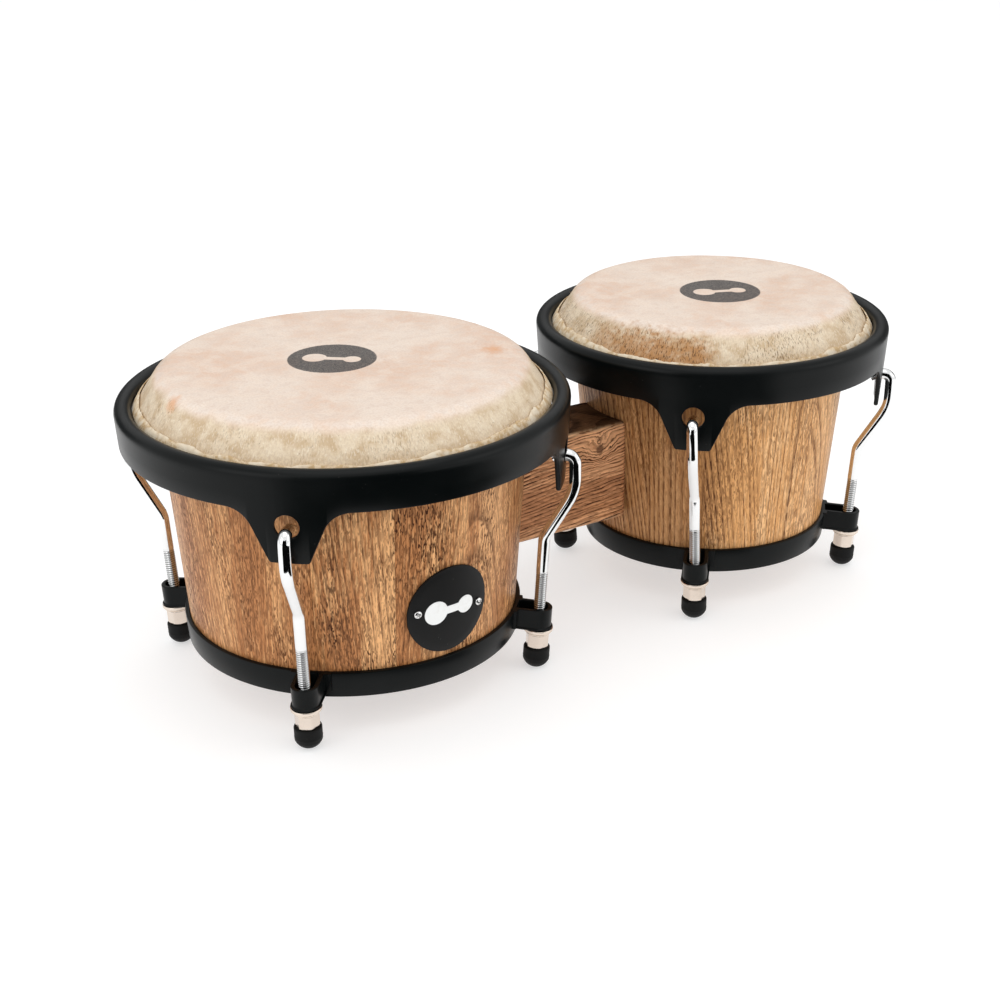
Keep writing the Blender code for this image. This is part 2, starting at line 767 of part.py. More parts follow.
def make_bolt_washer(number, x, z):
    """A washer whose nearer face stands at x, on the large drum's side."""
    bore = BOLT_RADIUS + GAP
    profile = [
        (bore, 0),
        (BOLT_WASHER_RADIUS, 0),
        (BOLT_WASHER_RADIUS, WASHER_THICK),
        (bore, WASHER_THICK),
    ]
    bm = turned_ring(profile, SMALL_STEPS)
    return object_from(f"block_washer_{number}", bm, "nickel", bolt_frame(x, z))


def make_bolt_nut(number, z):
    bore = BOLT_RADIUS + GAP
    shape = hexagon(BOLT_HEAD_ACROSS)
    steps = SMALL_STEPS
    low = seat_x(SMALL, z) + WASHER_THICK + 2 * GAP
    rings = [
        circle(0, 0, steps, shape=shape),
        circle(0, BOLT_HEAD_HEIGHT, steps, shape=shape),
        circle(bore, BOLT_HEAD_HEIGHT, steps),
        circle(bore, 0, steps),
    ]
    return object_from(f"block_nut_{number}", loft(rings), "nickel", bolt_frame(low, z))


def make_bolts():
    for number, z in enumerate(bolt_heights(), start=1):
        make_bolt(number, z)
        make_bolt_nut(number, z)
        make_bolt_washer(2 * number - 1, seat_x(LARGE, z) - GAP - WASHER_THICK, z)
        make_bolt_washer(2 * number, seat_x(SMALL, z) + GAP, z)


# ---- badge --------------------------------------------------------------------------


def on_shell(drum, along, up, out):
    """A point of the shell's outside: along and up from the badge's centre, and out from the wood."""
    z = BADGE_CENTRE_Z + up * math.cos(drum.taper) + out * -math.sin(drum.taper)
    radius = drum.shell_outer(z) + out / math.cos(drum.taper)
    angle = BADGE_ANGLE + along / drum.shell_outer(BADGE_CENTRE_Z)
    return (drum.centre_x + radius * math.cos(angle), radius * math.sin(angle), z)


def make_badge(drum):
    """A thin round plate, curved to lie on the shell."""
    rows = [0.45, 0.8, 1.0]
    steps = 24
    bm = bmesh.new()

    def sheet(out):
        middle = bm.verts.new(on_shell(drum, 0, 0, out))
        loops = []
        for row in rows:
            reach = BADGE_RADIUS * row
            ring = circle(reach, 0, steps)
            loops.append([bm.verts.new(on_shell(drum, x, y, out)) for x, y, _ in ring])
        for i in range(steps):
            j = (i + 1) % steps
            bm.faces.new((middle, loops[0][i], loops[0][j]))
            for inner, outer in zip(loops, loops[1:]):
                bm.faces.new((inner[i], outer[i], outer[j], inner[j]))
        return loops[-1]

    back = sheet(2 * GAP)
    front = sheet(2 * GAP + BADGE_THICK)
    for i in range(steps):
        j = (i + 1) % steps
        bm.faces.new((back[i], back[j], front[j], front[i]))
    return object_from("badge", bm, "black_plate")


def screw_frame(drum, side):
    """Origin on the wood under a badge screw, Z pointing out."""
    along = side * SCREW_SPREAD * math.cos(SCREW_TURN)
    up = -side * SCREW_SPREAD * math.sin(SCREW_TURN)
    foot = Vector(on_shell(drum, along, up, 0))
    out = (Vector(on_shell(drum, along, up, RUNOFF)) - foot).normalized()
    return Matrix.Translation(foot) @ out.to_track_quat("Z", "Y").to_matrix().to_4x4()


def make_screw(drum, number, side):
    """A small round-headed screw through the badge into the shell."""
    seat = 3 * GAP + BADGE_THICK
    profile = [
        (0, -SCREW_LENGTH),
        (SCREW_SHANK_RADIUS, -SCREW_LENGTH),
        (SCREW_SHANK_RADIUS, seat),
        (SCREW_HEAD_RADIUS, seat),
        (SCREW_HEAD_RADIUS * 0.8, seat + 0.8 * MM),
        (0, seat + 1.2 * MM),
    ]
    frame = screw_frame(drum, side)
    return object_from(f"badge_screw_{number}", turned_solid(profile, SMALL_STEPS), "chrome", frame)


def screw_hole(drum, side):
    start = screw_frame(drum, side) @ Matrix.Translation((0, 0, -SCREW_LENGTH - GAP))
    return rod_cutter(SCREW_SHANK_RADIUS + GAP, SCREW_LENGTH + RUNOFF, start)


# ---- the whole object ---------------------------------------------------------------


def build():
    clear_scene()
    for drum in (LARGE, SMALL):
        shell = make_shell(drum)
        drill_shell(drum, shell)
        if drum is LARGE:
            badge = make_badge(drum)
            for number, side in enumerate((-1, 1), start=1):
                carve(shell, screw_hole(drum, side))
                carve(badge, screw_hole(drum, side))
                make_screw(drum, number, side)
        make_head(drum)
        make_hoop(drum)
        make_rim(drum)
        make_bottom_ring(drum)
        make_tuning_set(drum)
    make_block()
    make_bolts()


build()
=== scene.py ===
"""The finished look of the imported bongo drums: a large and a small one joined by a block.

Metres, +Z up, in the model's own frame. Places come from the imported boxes; the sizes named
below are those that a box can't give.
"""

import math

import bmesh
import bpy
from mathutils import Matrix, Vector, noise


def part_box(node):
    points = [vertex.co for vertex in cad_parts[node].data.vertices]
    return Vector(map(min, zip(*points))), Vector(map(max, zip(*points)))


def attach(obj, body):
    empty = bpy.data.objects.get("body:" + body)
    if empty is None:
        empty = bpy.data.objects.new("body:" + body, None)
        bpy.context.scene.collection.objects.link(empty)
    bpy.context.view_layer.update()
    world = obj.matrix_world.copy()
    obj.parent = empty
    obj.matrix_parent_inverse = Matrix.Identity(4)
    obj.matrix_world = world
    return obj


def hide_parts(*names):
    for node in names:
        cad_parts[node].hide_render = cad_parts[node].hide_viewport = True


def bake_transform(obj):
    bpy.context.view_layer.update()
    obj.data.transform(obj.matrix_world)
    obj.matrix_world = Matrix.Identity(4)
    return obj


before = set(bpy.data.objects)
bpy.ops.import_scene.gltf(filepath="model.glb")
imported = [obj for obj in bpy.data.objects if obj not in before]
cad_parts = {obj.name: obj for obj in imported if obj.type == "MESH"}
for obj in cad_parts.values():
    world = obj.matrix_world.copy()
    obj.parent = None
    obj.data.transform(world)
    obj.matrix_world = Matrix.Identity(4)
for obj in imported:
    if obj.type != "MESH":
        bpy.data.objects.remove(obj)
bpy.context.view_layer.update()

MM = 0.001
QUARTER = math.pi / 2
FULL_TURN = 2 * math.pi

# ---- sizes --------------------------------------------------------------------------

LARGE_TAPER = math.radians(4.2)
SMALL_TAPER = math.radians(5.0)
SHELL_WALL = 10.0 * MM
EDGE_ROUND = 8.0 * MM  # the bearing edge that the skin turns over
SKIN = 1.5 * MM
GAP = 0.3 * MM  # between pieces that touch on the real drums

HOOP_WIDTH = 6.3 * MM
ROLL_WIDTH = 8.9 * MM  # the rim's rolled top edge, across
RIM_SHEET = 2.4 * MM
RIM_LEAN = math.radians(3.7)
RIM_EDGE = 0.8 * MM  # rounding of the rim's lower edge
EAR_DROP = 26.5 * MM
EAR_HALF_WIDTH = 9.9 * MM
EAR_SLANT = math.radians(24)
EAR_FILLET = 14.0 * MM
EAR_CORNER = 2.0 * MM
EAR_HOLE_RADIUS = 6.1 * MM
EAR_HOLE_ABOVE_TIP = 19.2 * MM
EAR_HOLE_BREAK = 0.45 * MM  # the broken edge of the hole

ROD_RADIUS = 3.175 * MM
ROD_LEAN = math.radians(3.7)
HOOK_BEND = 4.6 * MM
HOOK_TAIL = 4.2 * MM
HOOK_DIP = 1.6 * MM
HOOK_OUTSIDE = 3.3 * MM
HOOK_SETBACK = 16.0 * MM
HOOK_UPRIGHT = 19.7 * MM
HOOK_CLEAR = 0.05 * MM  # more room than GAP above the hole's lower edge
JOGGLE_HEIGHT = 27.3 * MM
JOGGLE_UPPER_BEND = 28.0 * MM
JOGGLE_LOWER_BEND = 10.0 * MM
THREAD_PITCH = 1.27 * MM
THREAD_DEPTH = 0.5 * MM
THREAD_TOP = 57.0 * MM
THREAD_STEPS = 6  # points along the rod for each turn of the thread
ROD_SIDES = 18

FOOT_RADIUS = 7.1 * MM
FOOT_HEIGHT = 12.5 * MM
FOOT_DOME = 7.5 * MM
FOOT_SOLE = 2.8 * MM
NUT_ACROSS = 11.1 * MM
NUT_HEIGHT = 7.7 * MM
FLANGE_RADIUS = 6.9 * MM
FLANGE_HEIGHT = 1.1 * MM
WASHER_RADIUS = 8.0 * MM
WASHER_THICK = 1.9 * MM
ROD_PLAY = 0.5 * MM
LUG_ANGLE = math.radians(4.4)
LUG_RADIUS = 6.9 * MM
LUG_WALL = 2.2 * MM
LUG_HEIGHT = 10.7 * MM
LUG_PLATE = 0.9 * MM
LUG_LIP = 0.8 * MM
LUG_ABOVE_RING = 2.0 * MM  # the lug's plate stands this far above the ring's lower edge
LUG_TAB = 3.4 * MM  # the strap's welded ends lie along the ring for this far
LUG_TAB_THICK = 1.1 * MM
LUG_PLAY = 0.8 * MM
RING_HEIGHT = 14.0 * MM
RING_SHEET = 2.2 * MM

BLOCK_CORNER = 6.0 * MM
BLOCK_EDGE = 2.5 * MM
BOLT_RADIUS = 4.0 * MM
BOLT_HEAD_ACROSS = 13.0 * MM
BOLT_HEAD_HEIGHT = 5.3 * MM
BOLT_WASHER_RADIUS = 9.0 * MM
SEAT_DEPTH = 2.2 * MM

BADGE_RADIUS = 23.5 * MM
BADGE_THICK = 1.2 * MM
BADGE_CENTRE_Z = 62.8 * MM
BADGE_ANGLE = math.radians(-84.5)
SCREW_SPREAD = 18.2 * MM
SCREW_TURN = math.radians(6)
SCREW_HEAD_RADIUS = 2.1 * MM
SCREW_SHANK_RADIUS = 1.3 * MM
SCREW_LENGTH = 6.0 * MM
SIGN_LARGE = (-8.0 * MM, 6.4 * MM)  # a round spot: (centre along, radius)
SIGN_SMALL = (9.2 * MM, 4.8 * MM)
SIGN_HALF_BAR = 2.1 * MM
SIGN_SOFT = 0.1 * MM
SIGN_RISE = 0.25 * MM
RUNOFF = 10.0 * MM  # how far a cutter passes the surface it leaves by

FRONT = Vector((-0.517, -0.856, 0))  # the side that faces the player
RIM_TWIST = {"large": 0.0, "small": math.radians(-2.0)}  # rim against the ring below it

HAIR_DENSITY = {"large": 45000.0, "small": 70000.0}  # hairs to a square metre
HAIR_LIE = 1.6
HAIR_SEED = 7

ROUND_STEPS = 192
FINE_STEPS = 48
EDGE_STEPS = 360  # round the skin's ragged edge

# ---- heights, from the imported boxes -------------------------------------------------

SHELL_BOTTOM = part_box("large_shell")[0].z
SHELL_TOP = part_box("large_shell")[1].z
HEAD_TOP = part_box("large_head")[1].z
HEM_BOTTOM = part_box("large_head")[0].z
RIM_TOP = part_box("large_rim")[1].z
EAR_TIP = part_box("large_rim")[0].z
HOOP_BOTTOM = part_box("large_flesh_hoop")[0].z
HOOP_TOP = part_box("large_flesh_hoop")[1].z
BLOCK_LOW, BLOCK_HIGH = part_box("centre_block")

RIM_SHOULDER = RIM_TOP - ROLL_WIDTH / 2
ROLL_LIP = RIM_SHOULDER - RIM_SHEET / 2
EAR_HOLE_Z = EAR_TIP + EAR_HOLE_ABOVE_TIP
HOOK_Z = EAR_HOLE_Z - EAR_HOLE_RADIUS + ROD_RADIUS + GAP + HOOK_CLEAR
EDGE_CENTRE_Z = SHELL_TOP - EDGE_ROUND
NUT_BOTTOM = FOOT_HEIGHT + GAP
FLANGE_TOP = NUT_BOTTOM + NUT_HEIGHT + FLANGE_HEIGHT
WASHER_BOTTOM = FLANGE_TOP + ROD_PLAY
LUG_BOTTOM = SHELL_BOTTOM + LUG_ABOVE_RING


def polar(radius, angle, z):
    return (radius * math.cos(angle), radius * math.sin(angle), z)


class Drum:
    """Where one drum stands, and the radii that its pieces share."""

    def __init__(self, name, taper):
        self.name = name
        self.taper = taper
        low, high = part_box(name + "_flesh_hoop")
        self.centre_x = (low.x + high.x) / 2
        self.hoop_outer = (high.x - low.x) / 2
        self.hoop_inner = self.hoop_outer - HOOP_WIDTH
        low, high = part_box(name + "_rim")
        self.rim_outer = (high.x - low.x) / 2
        low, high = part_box(name + "_shell")
        self.head_radius = (high.x - low.x) / 2 + EDGE_ROUND * math.tan(taper)
        self.rod_bend_z = HOOK_Z - HOOK_UPRIGHT - JOGGLE_HEIGHT
        self.rod_bend_radius = self.rim_outer + HOOK_OUTSIDE - HOOK_SETBACK
        self.foot_radius = self.rod_bend_radius - self.rod_bend_z * math.tan(ROD_LEAN)
        self.place = Matrix.Translation((self.centre_x, 0, 0))
        self.rim_set = name + "_rim_set"

    def shell_outer(self, z):
        return self.head_radius - (SHELL_TOP - z) * math.tan(self.taper)

    def shell_inner(self, z):
        return self.shell_outer(z) - SHELL_WALL / math.cos(self.taper)

    def edge_centre(self):
        return self.shell_outer(EDGE_CENTRE_Z) - EDGE_ROUND

    def rim_wall(self, z):
        return self.rim_outer - (RIM_SHOULDER - z) * math.tan(RIM_LEAN)

    def lug_angles(self):
        return [LUG_ANGLE + QUARTER / 2 + QUARTER * i for i in range(4)]

    def ear_angles(self):
        return [angle + RIM_TWIST[self.name] for angle in self.lug_angles()]

    def lug_frame(self, angle):
        """Origin on the rod's axis at floor level, Z up the rod, X away from the drum."""
        return (
            self.place
            @ Matrix.Rotation(angle, 4, "Z")
            @ Matrix.Translation((self.foot_radius, 0, 0))
            @ Matrix.Rotation(ROD_LEAN, 4, "Y")
        )


LARGE = Drum("large", LARGE_TAPER)
SMALL = Drum("small", SMALL_TAPER)
DRUMS = (LARGE, SMALL)
DRUM_SPACING = SMALL.centre_x - LARGE.centre_x

# ---- camera, floor and light --------------------------------------------------------

CAMERA_PLACE = Vector((-0.4793, -0.7636, 0.4485))
CAMERA_AZIMUTH = math.radians(-31.15)
CAMERA_ELEVATION = math.radians(23.01)
CAMERA_ROLL = math.radians(-0.59)
CAMERA_LENS = 62.51
CAMERA_SENSOR = 36
CAMERA_NEAR, CAMERA_FAR = 0.01, 50


def make_camera():
    camera = bpy.data.cameras.new("camera")
    camera.lens = CAMERA_LENS
    camera.sensor_width = CAMERA_SENSOR
    camera.clip_start, camera.clip_end = CAMERA_NEAR, CAMERA_FAR
    obj = bpy.data.objects.new("camera", camera)
    bpy.context.collection.objects.link(obj)
    turn = (
        Matrix.Rotation(CAMERA_AZIMUTH, 4, "Z")
        @ Matrix.Rotation(QUARTER - CAMERA_ELEVATION, 4, "X")
        @ Matrix.Rotation(CAMERA_ROLL, 4, "Z")
    )
    obj.matrix_world = Matrix.Translation(CAMERA_PLACE) @ turn
    bpy.context.scene.camera = obj


# ---- node trees ---------------------------------------------------------------------


class Graph:
    """Short ways of adding nodes to one tree. A value is a socket or a plain constant."""

    def __init__(self, tree):
        self.tree = tree

    def node(self, kind, settings=(), **values):
        made = self.tree.nodes.new(kind)
        for name, value in dict(settings).items():
            setattr(made, name, value)
        for name, value in values.items():
            self.feed(made.inputs[name.replace("_", " ")], value)
        return made

    def feed(self, socket, value):
        if isinstance(value, bpy.types.NodeSocket):
            self.tree.links.new(value, socket)
        elif value is not None:
            socket.default_value = value

    def math(self, operation, a, b=None, c=None, clamp=False):
        made = self.node("ShaderNodeMath", {"operation": operation, "use_clamp": clamp})
        for socket, value in zip(made.inputs, (a, b, c)):
            self.feed(socket, value)
        return made.outputs[0]

    def times(self, a, b, clamp=False):
        return self.math("MULTIPLY", a, b, clamp=clamp)

    def plus(self, a, b):
        return self.math("ADD", a, b)

    def minus(self, a, b):
        return self.math("SUBTRACT", a, b)

    def times_plus(self, a, b, c):
        """a times b, plus c."""
        return self.math("MULTIPLY_ADD", a, b, c)

    def centred(self, value):
        """A value from 0 to 1, moved to lie from -0.5 to 0.5."""
        return self.minus(value, 0.5)

    def vector(self, operation, a, b=None, scale=None):
        made = self.node("ShaderNodeVectorMath", {"operation": operation})
        self.feed(made.inputs[0], a)
        self.feed(made.inputs[1], b)
        if operation == "SCALE":
            self.feed(made.inputs[3], scale)
        is_value = operation in ("LENGTH", "DISTANCE", "DOT_PRODUCT")
        return made.outputs[1 if is_value else 0]

    def split(self, vector):
        return self.node("ShaderNodeSeparateXYZ", Vector=vector).outputs

    def join(self, x, y, z):
        return self.node("ShaderNodeCombineXYZ", X=x, Y=y, Z=z).outputs[0]

    def ramp(self, value, low, high, to_low=0.0, to_high=1.0, smooth=True):
        """The value from low to high, mapped to to_low to to_high and held at the ends."""
        kind = "SMOOTHSTEP" if smooth else "LINEAR"
        made = self.node("ShaderNodeMapRange", {"interpolation_type": kind})
        for name, given in (
            ("Value", value),
            ("From Min", low),
            ("From Max", high),
            ("To Min", to_low),
            ("To Max", to_high),
        ):
            self.feed(made.inputs[name], given)
        return made.outputs["Result"]

    def mix(self, share, a, b, blend="MIX"):
        made = self.node("ShaderNodeMix", {"data_type": "RGBA", "blend_type": blend})
        for index, given in ((0, share), (6, a), (7, b)):
            self.feed(made.inputs[index], given)
        return made.outputs[2]

    def noise(self, vector, scale=1.0, detail=2.0, roughness=0.5):
        made = self.node(
            "ShaderNodeTexNoise", Vector=vector, Scale=scale, Detail=detail, Roughness=roughness
        )
        return made.outputs["Fac"]

    def stretched_noise(self, vector, factors, detail=2.0):
        """Noise with a scale of its own along each axis."""
        return self.noise(self.vector("MULTIPLY", vector, factors), detail=detail)

    def noise_colour(self, vector, scale=1.0, detail=2.0):
        made = self.node("ShaderNodeTexNoise", Vector=vector, Scale=scale, Detail=detail)
        return made.outputs["Color"]

    def moved_noise(self, vector, shift, scale=1.0, detail=2.0, roughness=0.5):
        """Noise read somewhere else, so that it doesn't repeat another at the same scale."""
        return self.noise(self.vector("ADD", vector, shift), scale, detail, roughness)

    def spots(self, vector, scale=1.0):
        """Distance to the nearest of scattered points."""
        made = self.node("ShaderNodeTexVoronoi", Vector=vector, Scale=scale)
        return made.outputs["Distance"]

    def random(self, value, output="Value"):
        made = self.node("ShaderNodeTexWhiteNoise", {"noise_dimensions": "1D"}, W=value)
        return made.outputs[output]

    def give(self, out, **values):
        """Feeds a group's outputs."""
        for label, value in values.items():
            self.feed(out.inputs[label], value)


FLOAT, VECTOR, COLOUR = "NodeSocketFloat", "NodeSocketVector", "NodeSocketColor"


def new_group(name, inputs, outputs):
    """(group tree, its Graph, its input sockets by name, its output node)."""
    tree = bpy.data.node_groups.new(name, "ShaderNodeTree")
    for label, (kind, default) in inputs.items():
        socket = tree.interface.new_socket(label, in_out="INPUT", socket_type=kind)
        socket.default_value = default
    for label, kind in outputs.items():
        tree.interface.new_socket(label, in_out="OUTPUT", socket_type=kind)
    graph = Graph(tree)
    given = graph.node("NodeGroupInput").outputs
    return tree, graph, given, graph.node("NodeGroupOutput")


def grain_group():
    """Ring-porous wood. Position runs across the grain in X and Y, and along it in Z."""
    tree, g, given, out = new_group(
        "ring_porous_grain",
        {
            "Position": (VECTOR, (0, 0, 0)),
            "Seed": (FLOAT, 0.0),
            "Ring Width": (FLOAT, 4.0 * MM),
            "Wander": (FLOAT, 3.0 * MM),
            "Pith": (VECTOR, (0, 0, 0)),
            "Rise": (FLOAT, 0.02),
            "Band": (FLOAT, 0.5),
            "Flecks": (FLOAT, 0.45),
            "Lines": (FLOAT, 1.0),
            "Light": (COLOUR, (0.6, 0.36, 0.2, 1)),
            "Middle": (COLOUR, (0.4, 0.2, 0.09, 1)),
            "Dark": (COLOUR, (0.1, 0.04, 0.01, 1)),
        },
        {"Color": COLOUR, "Roughness": FLOAT, "Height": FLOAT},
    )
    place = given["Position"]
    shift = g.vector("SCALE", g.random(given["Seed"], "Color"), scale=7.0)
    shifted = g.vector("ADD", place, shift)
    bend = g.centred(g.stretched_noise(shifted, (28.0, 28.0, 7.0), 1.5))
    ripple = g.times(g.centred(g.stretched_noise(shifted, (160.0, 160.0, 22.0))), 0.07)
    off = g.vector("SUBTRACT", place, given["Pith"])
    x, y, z = g.split(off)
    radius = g.vector("LENGTH", g.join(x, y, 0.0))
    wandered = g.times_plus(g.plus(bend, ripple), given["Wander"], radius)
    tilted = g.times_plus(z, given["Rise"], wandered)
    rings = g.math("DIVIDE", tilted, given["Ring Width"])
    uneven = g.noise(g.join(g.times(rings, 0.37), given["Seed"], 0.0), detail=1.0)
    rings = g.times_plus(uneven, 2.2, rings)
    phase = g.math("FRACT", rings)
    strength = g.random(g.plus(g.math("FLOOR", rings), given["Seed"]))
    strength = g.ramp(strength, 0.0, 1.0, 0.6, 1.0, smooth=False)
    early = g.minus(1.0, g.ramp(phase, 0.04, given["Band"]))
    late = g.ramp(phase, 0.93, 1.0)
    early = g.times(g.math("MAXIMUM", early, late), strength)
    early = g.times(early, given["Lines"])
    pores = g.ramp(g.stretched_noise(shifted, (1250.0, 1250.0, 170.0)), 0.46, 0.57)
    short = g.ramp(g.stretched_noise(shifted, (1400.0, 1400.0, 300.0), 1.0), 0.52, 0.62)
    fibre = g.stretched_noise(shifted, (900.0, 900.0, 26.0), 3.0)
    broad = g.stretched_noise(shifted, (42.0, 42.0, 5.0))
    streak = g.times(early, g.times_plus(pores, 0.5, 0.6))
    patch = g.ramp(g.stretched_noise(shifted, (55.0, 55.0, 14.0)), 0.38, 0.62, 0.5, 1.0)
    scatter = g.times(g.math("MAXIMUM", short, g.times(pores, 0.7)), patch)
    dark = g.math("MAXIMUM", streak, g.times(scatter, given["Flecks"]))
    dark = g.ramp(dark, 0.0, 0.8, smooth=False)
    tone = g.plus(g.times(fibre, 0.8), broad)
    tone = g.ramp(tone, 0.74, 1.06)
    base = g.mix(tone, given["Light"], given["Middle"])
    colour = g.mix(dark, base, given["Dark"])
    depth = g.times_plus(dark, -0.8, g.times(fibre, 0.25))
    g.give(out, Color=colour, Roughness=g.times_plus(dark, 0.25, 0.36), Height=depth)
    return tree


def stave_group():
    """Which stave of a shell a point lies on, and its place in that stave's own grain."""
    tree, g, given, out = new_group(
        "stave_layout",
        {
            "Position": (VECTOR, (0, 0, 0)),
            "Centre": (VECTOR, (0, 0, 0)),
            "Staves": (FLOAT, 14.0),
            "Radius": (FLOAT, 0.09),
            "Slant": (FLOAT, 0.0),
        },
        {"Position": VECTOR, "Seed": FLOAT, "Tint": FLOAT, "Joint": FLOAT},
    )
    x, y, z = g.split(g.vector("SUBTRACT", given["Position"], given["Centre"]))
    angle = g.math("ARCTAN2", y, x)
    share = g.times(angle, g.math("DIVIDE", given["Staves"], FULL_TURN))
    index = g.math("FLOOR", share)
    seed = g.random(g.plus(index, 3.7))
    within = g.centred(g.math("FRACT", share))
    width = g.math("DIVIDE", g.times(given["Radius"], FULL_TURN), given["Staves"])
    across = g.times(within, width)
    lean = g.times_plus(g.centred(seed), 0.02, given["Slant"])
    across = g.times_plus(z, lean, across)
    spread = g.times_plus(g.centred(seed), 0.17, across)
    reach = g.vector("LENGTH", g.join(x, y, 0.0))
    edge = g.times(g.minus(0.5, g.math("ABSOLUTE", within)), width)
    g.give(
        out,
        Position=g.join(spread, reach, z),
        Seed=g.times(seed, 61.0),
        Tint=g.random(g.plus(index, 19.3)),
        Joint=g.ramp(edge, 0.0, 0.35 * MM, 1.0, 0.0),
    )
    return tree


HIDE_PALE, HIDE_PINK = (0.825, 0.695, 0.59, 1), (0.765, 0.56, 0.435, 1)
HIDE_CLOUD, HIDE_VEIN = (0.84, 0.72, 0.615, 1), (0.70, 0.50, 0.38, 1)
COLLAR_LIGHT, COLLAR_DARK = (0.77, 0.645, 0.475, 1), (0.60, 0.45, 0.28, 1)
# the first colour on the next line is a painted highlight, for the skin over the bearing edge
HIDE_EDGE_HIGHLIGHT, HIDE_SPECK = (0.80, 0.74, 0.68, 1), (0.36, 0.24, 0.16, 1)
HAIR_DARK, HAIR_PALE = (0.17, 0.095, 0.04, 1), (0.86, 0.78, 0.64, 1)
HEM_GOLD, HEM_BROWN = (0.62, 0.43, 0.21, 1), (0.42, 0.25, 0.10, 1)
HIDE_PORE = (0.52, 0.36, 0.25, 1)


def hide_group():
    """Rawhide over a drum: smooth and pink on top, yellow and hairy down the collar."""
    tree, g, given, out = new_group(
        "rawhide",
        {
            "Position": (VECTOR, (0, 0, 0)),
            "Centre": (VECTOR, (0, 0, 0)),
            "Reach": (FLOAT, 0.1),
            "Hairiness": (FLOAT, 0.5),
            "Hem Height": (FLOAT, 8.0 * MM),
        },
        {"Color": COLOUR, "Roughness": FLOAT, "Height": FLOAT, "Hairs": FLOAT},
    )
    # z is measured from the playing surface, so it is negative on the collar
    local = g.vector("SUBTRACT", given["Position"], given["Centre"])
    x, y, z = g.split(local)
    radius = g.vector("LENGTH", g.join(x, y, 0.0))
    around = g.times(g.math("ARCTAN2", y, x), given["Reach"])
    broad = g.noise(local, scale=17.0, detail=4.0, roughness=0.55)
    cloud = g.moved_noise(local, (3.1, 0.4, 1.7), scale=70.0, detail=5.0)
    veins = g.moved_noise(local, (6.1, 2.4, 0.7), scale=190.0, detail=4.0)
    patchy = g.moved_noise(local, (0.3, 5.1, 2.2), scale=85.0, detail=5.0, roughness=0.6)
    fine = g.noise(local, scale=950.0, detail=3.0, roughness=0.65)
    # the playing surface
    top = g.mix(g.ramp(broad, 0.4, 0.62), HIDE_PALE, HIDE_PINK)
    top = g.mix(g.ramp(cloud, 0.48, 0.62, 0.0, 0.5), top, HIDE_CLOUD)
    top = g.mix(g.ramp(veins, 0.52, 0.64, 0.0, 0.4), top, HIDE_VEIN)
    # the collar, with a painted highlight along the skin over the bearing edge
    collar = g.times_plus(g.centred(cloud), 5.0 * MM, z)
    collar = g.ramp(collar, -5.5 * MM, -0.8 * MM, 1.0, 0.0)
    yellow = g.mix(g.ramp(patchy, 0.42, 0.62), COLLAR_LIGHT, COLLAR_DARK)
    colour = g.mix(collar, top, yellow)
    edge_highlight = g.ramp(g.math("ABSOLUTE", g.plus(z, 1.2 * MM)), 0.0, 2.2 * MM, 0.5, 0.0)
    edge_highlight = g.times(edge_highlight, g.ramp(veins, 0.4, 0.6))
    colour = g.mix(edge_highlight, colour, HIDE_EDGE_HIGHLIGHT)
    # dark and pale hairs, lying round the drum
    strands = g.join(g.times(around, 1500.0), radius, g.times(z, 520.0))
    astray = g.vector("SCALE", g.noise_colour(local, 190.0), scale=1.6)
    strands = g.vector("ADD", strands, astray)
    hairs = g.ramp(g.noise(strands, detail=2.0, roughness=0.6), 0.53, 0.63)
    hair_field = g.moved_noise(local, (8.3, 0.1, 4.4), scale=40.0, detail=3.0)
    hair_share = g.ramp(hair_field, 0.38, 0.6, 0.2, 1.0)
    hair_share = g.times(hair_share, given["Hairiness"], clamp=True)
    hair_mask = g.times(g.times(hairs, hair_share), collar)
    colour = g.mix(hair_mask, colour, HAIR_DARK)
    pale = g.moved_noise(strands, (41.0, 7.0, 3.0), roughness=0.6)
    pale = g.times(g.ramp(pale, 0.55, 0.66, 0.0, 0.6), collar)
    colour = g.mix(pale, colour, HAIR_PALE)
    # specks, the browner hem and the pores
    specks = g.ramp(g.spots(local, scale=310.0), 0.04, 0.13, 1.0, 0.0)
    scarce = g.ramp(g.noise(local, scale=130.0, detail=1.0), 0.6, 0.68, 0.0, 0.5)
    colour = g.mix(g.times(specks, scarce), colour, HIDE_SPECK)
    ragged = g.times(g.centred(patchy), 7.0 * MM)
    hem_place = g.plus(g.plus(z, 19.0 * MM), ragged)
    hem = g.ramp(hem_place, -2.0 * MM, given["Hem Height"], 0.55, 0.0)
    colour = g.mix(hem, colour, g.mix(g.ramp(fine, 0.42, 0.58), HEM_GOLD, HEM_BROWN))
    colour = g.mix(g.ramp(fine, 0.4, 0.62, 0.0, 0.22), colour, HIDE_PORE)
    height = g.times_plus(fine, 0.35, g.times(cloud, 0.65))
    g.give(
        out,
        Color=colour,
        Roughness=g.ramp(cloud, 0.3, 0.7, 0.38, 0.56),
        Height=g.times_plus(hair_mask, 0.5, height),
        Hairs=g.times(hairs, collar),
    )
    return tree


def stain_group():
    """A soft spot with a broken edge, from 0 outside to 1 in its middle."""
    tree, g, given, out = new_group(
        "stain_spot",
        {
            "Position": (VECTOR, (0, 0, 0)),
            "Centre": (VECTOR, (0, 0, 0)),
            "Radius": (FLOAT, 6.0 * MM),
            "Broken": (FLOAT, 0.5),
        },
        {"Mask": FLOAT},
    )
    off = g.vector("DISTANCE", given["Position"], given["Centre"])
    broken = g.centred(g.noise(given["Position"], scale=330.0, detail=3.0))
    share = g.math("DIVIDE", off, given["Radius"])
    share = g.times_plus(broken, given["Broken"], share)
    g.give(out, Mask=g.ramp(share, 0.15, 1.0, 1.0, 0.0))
    return tree


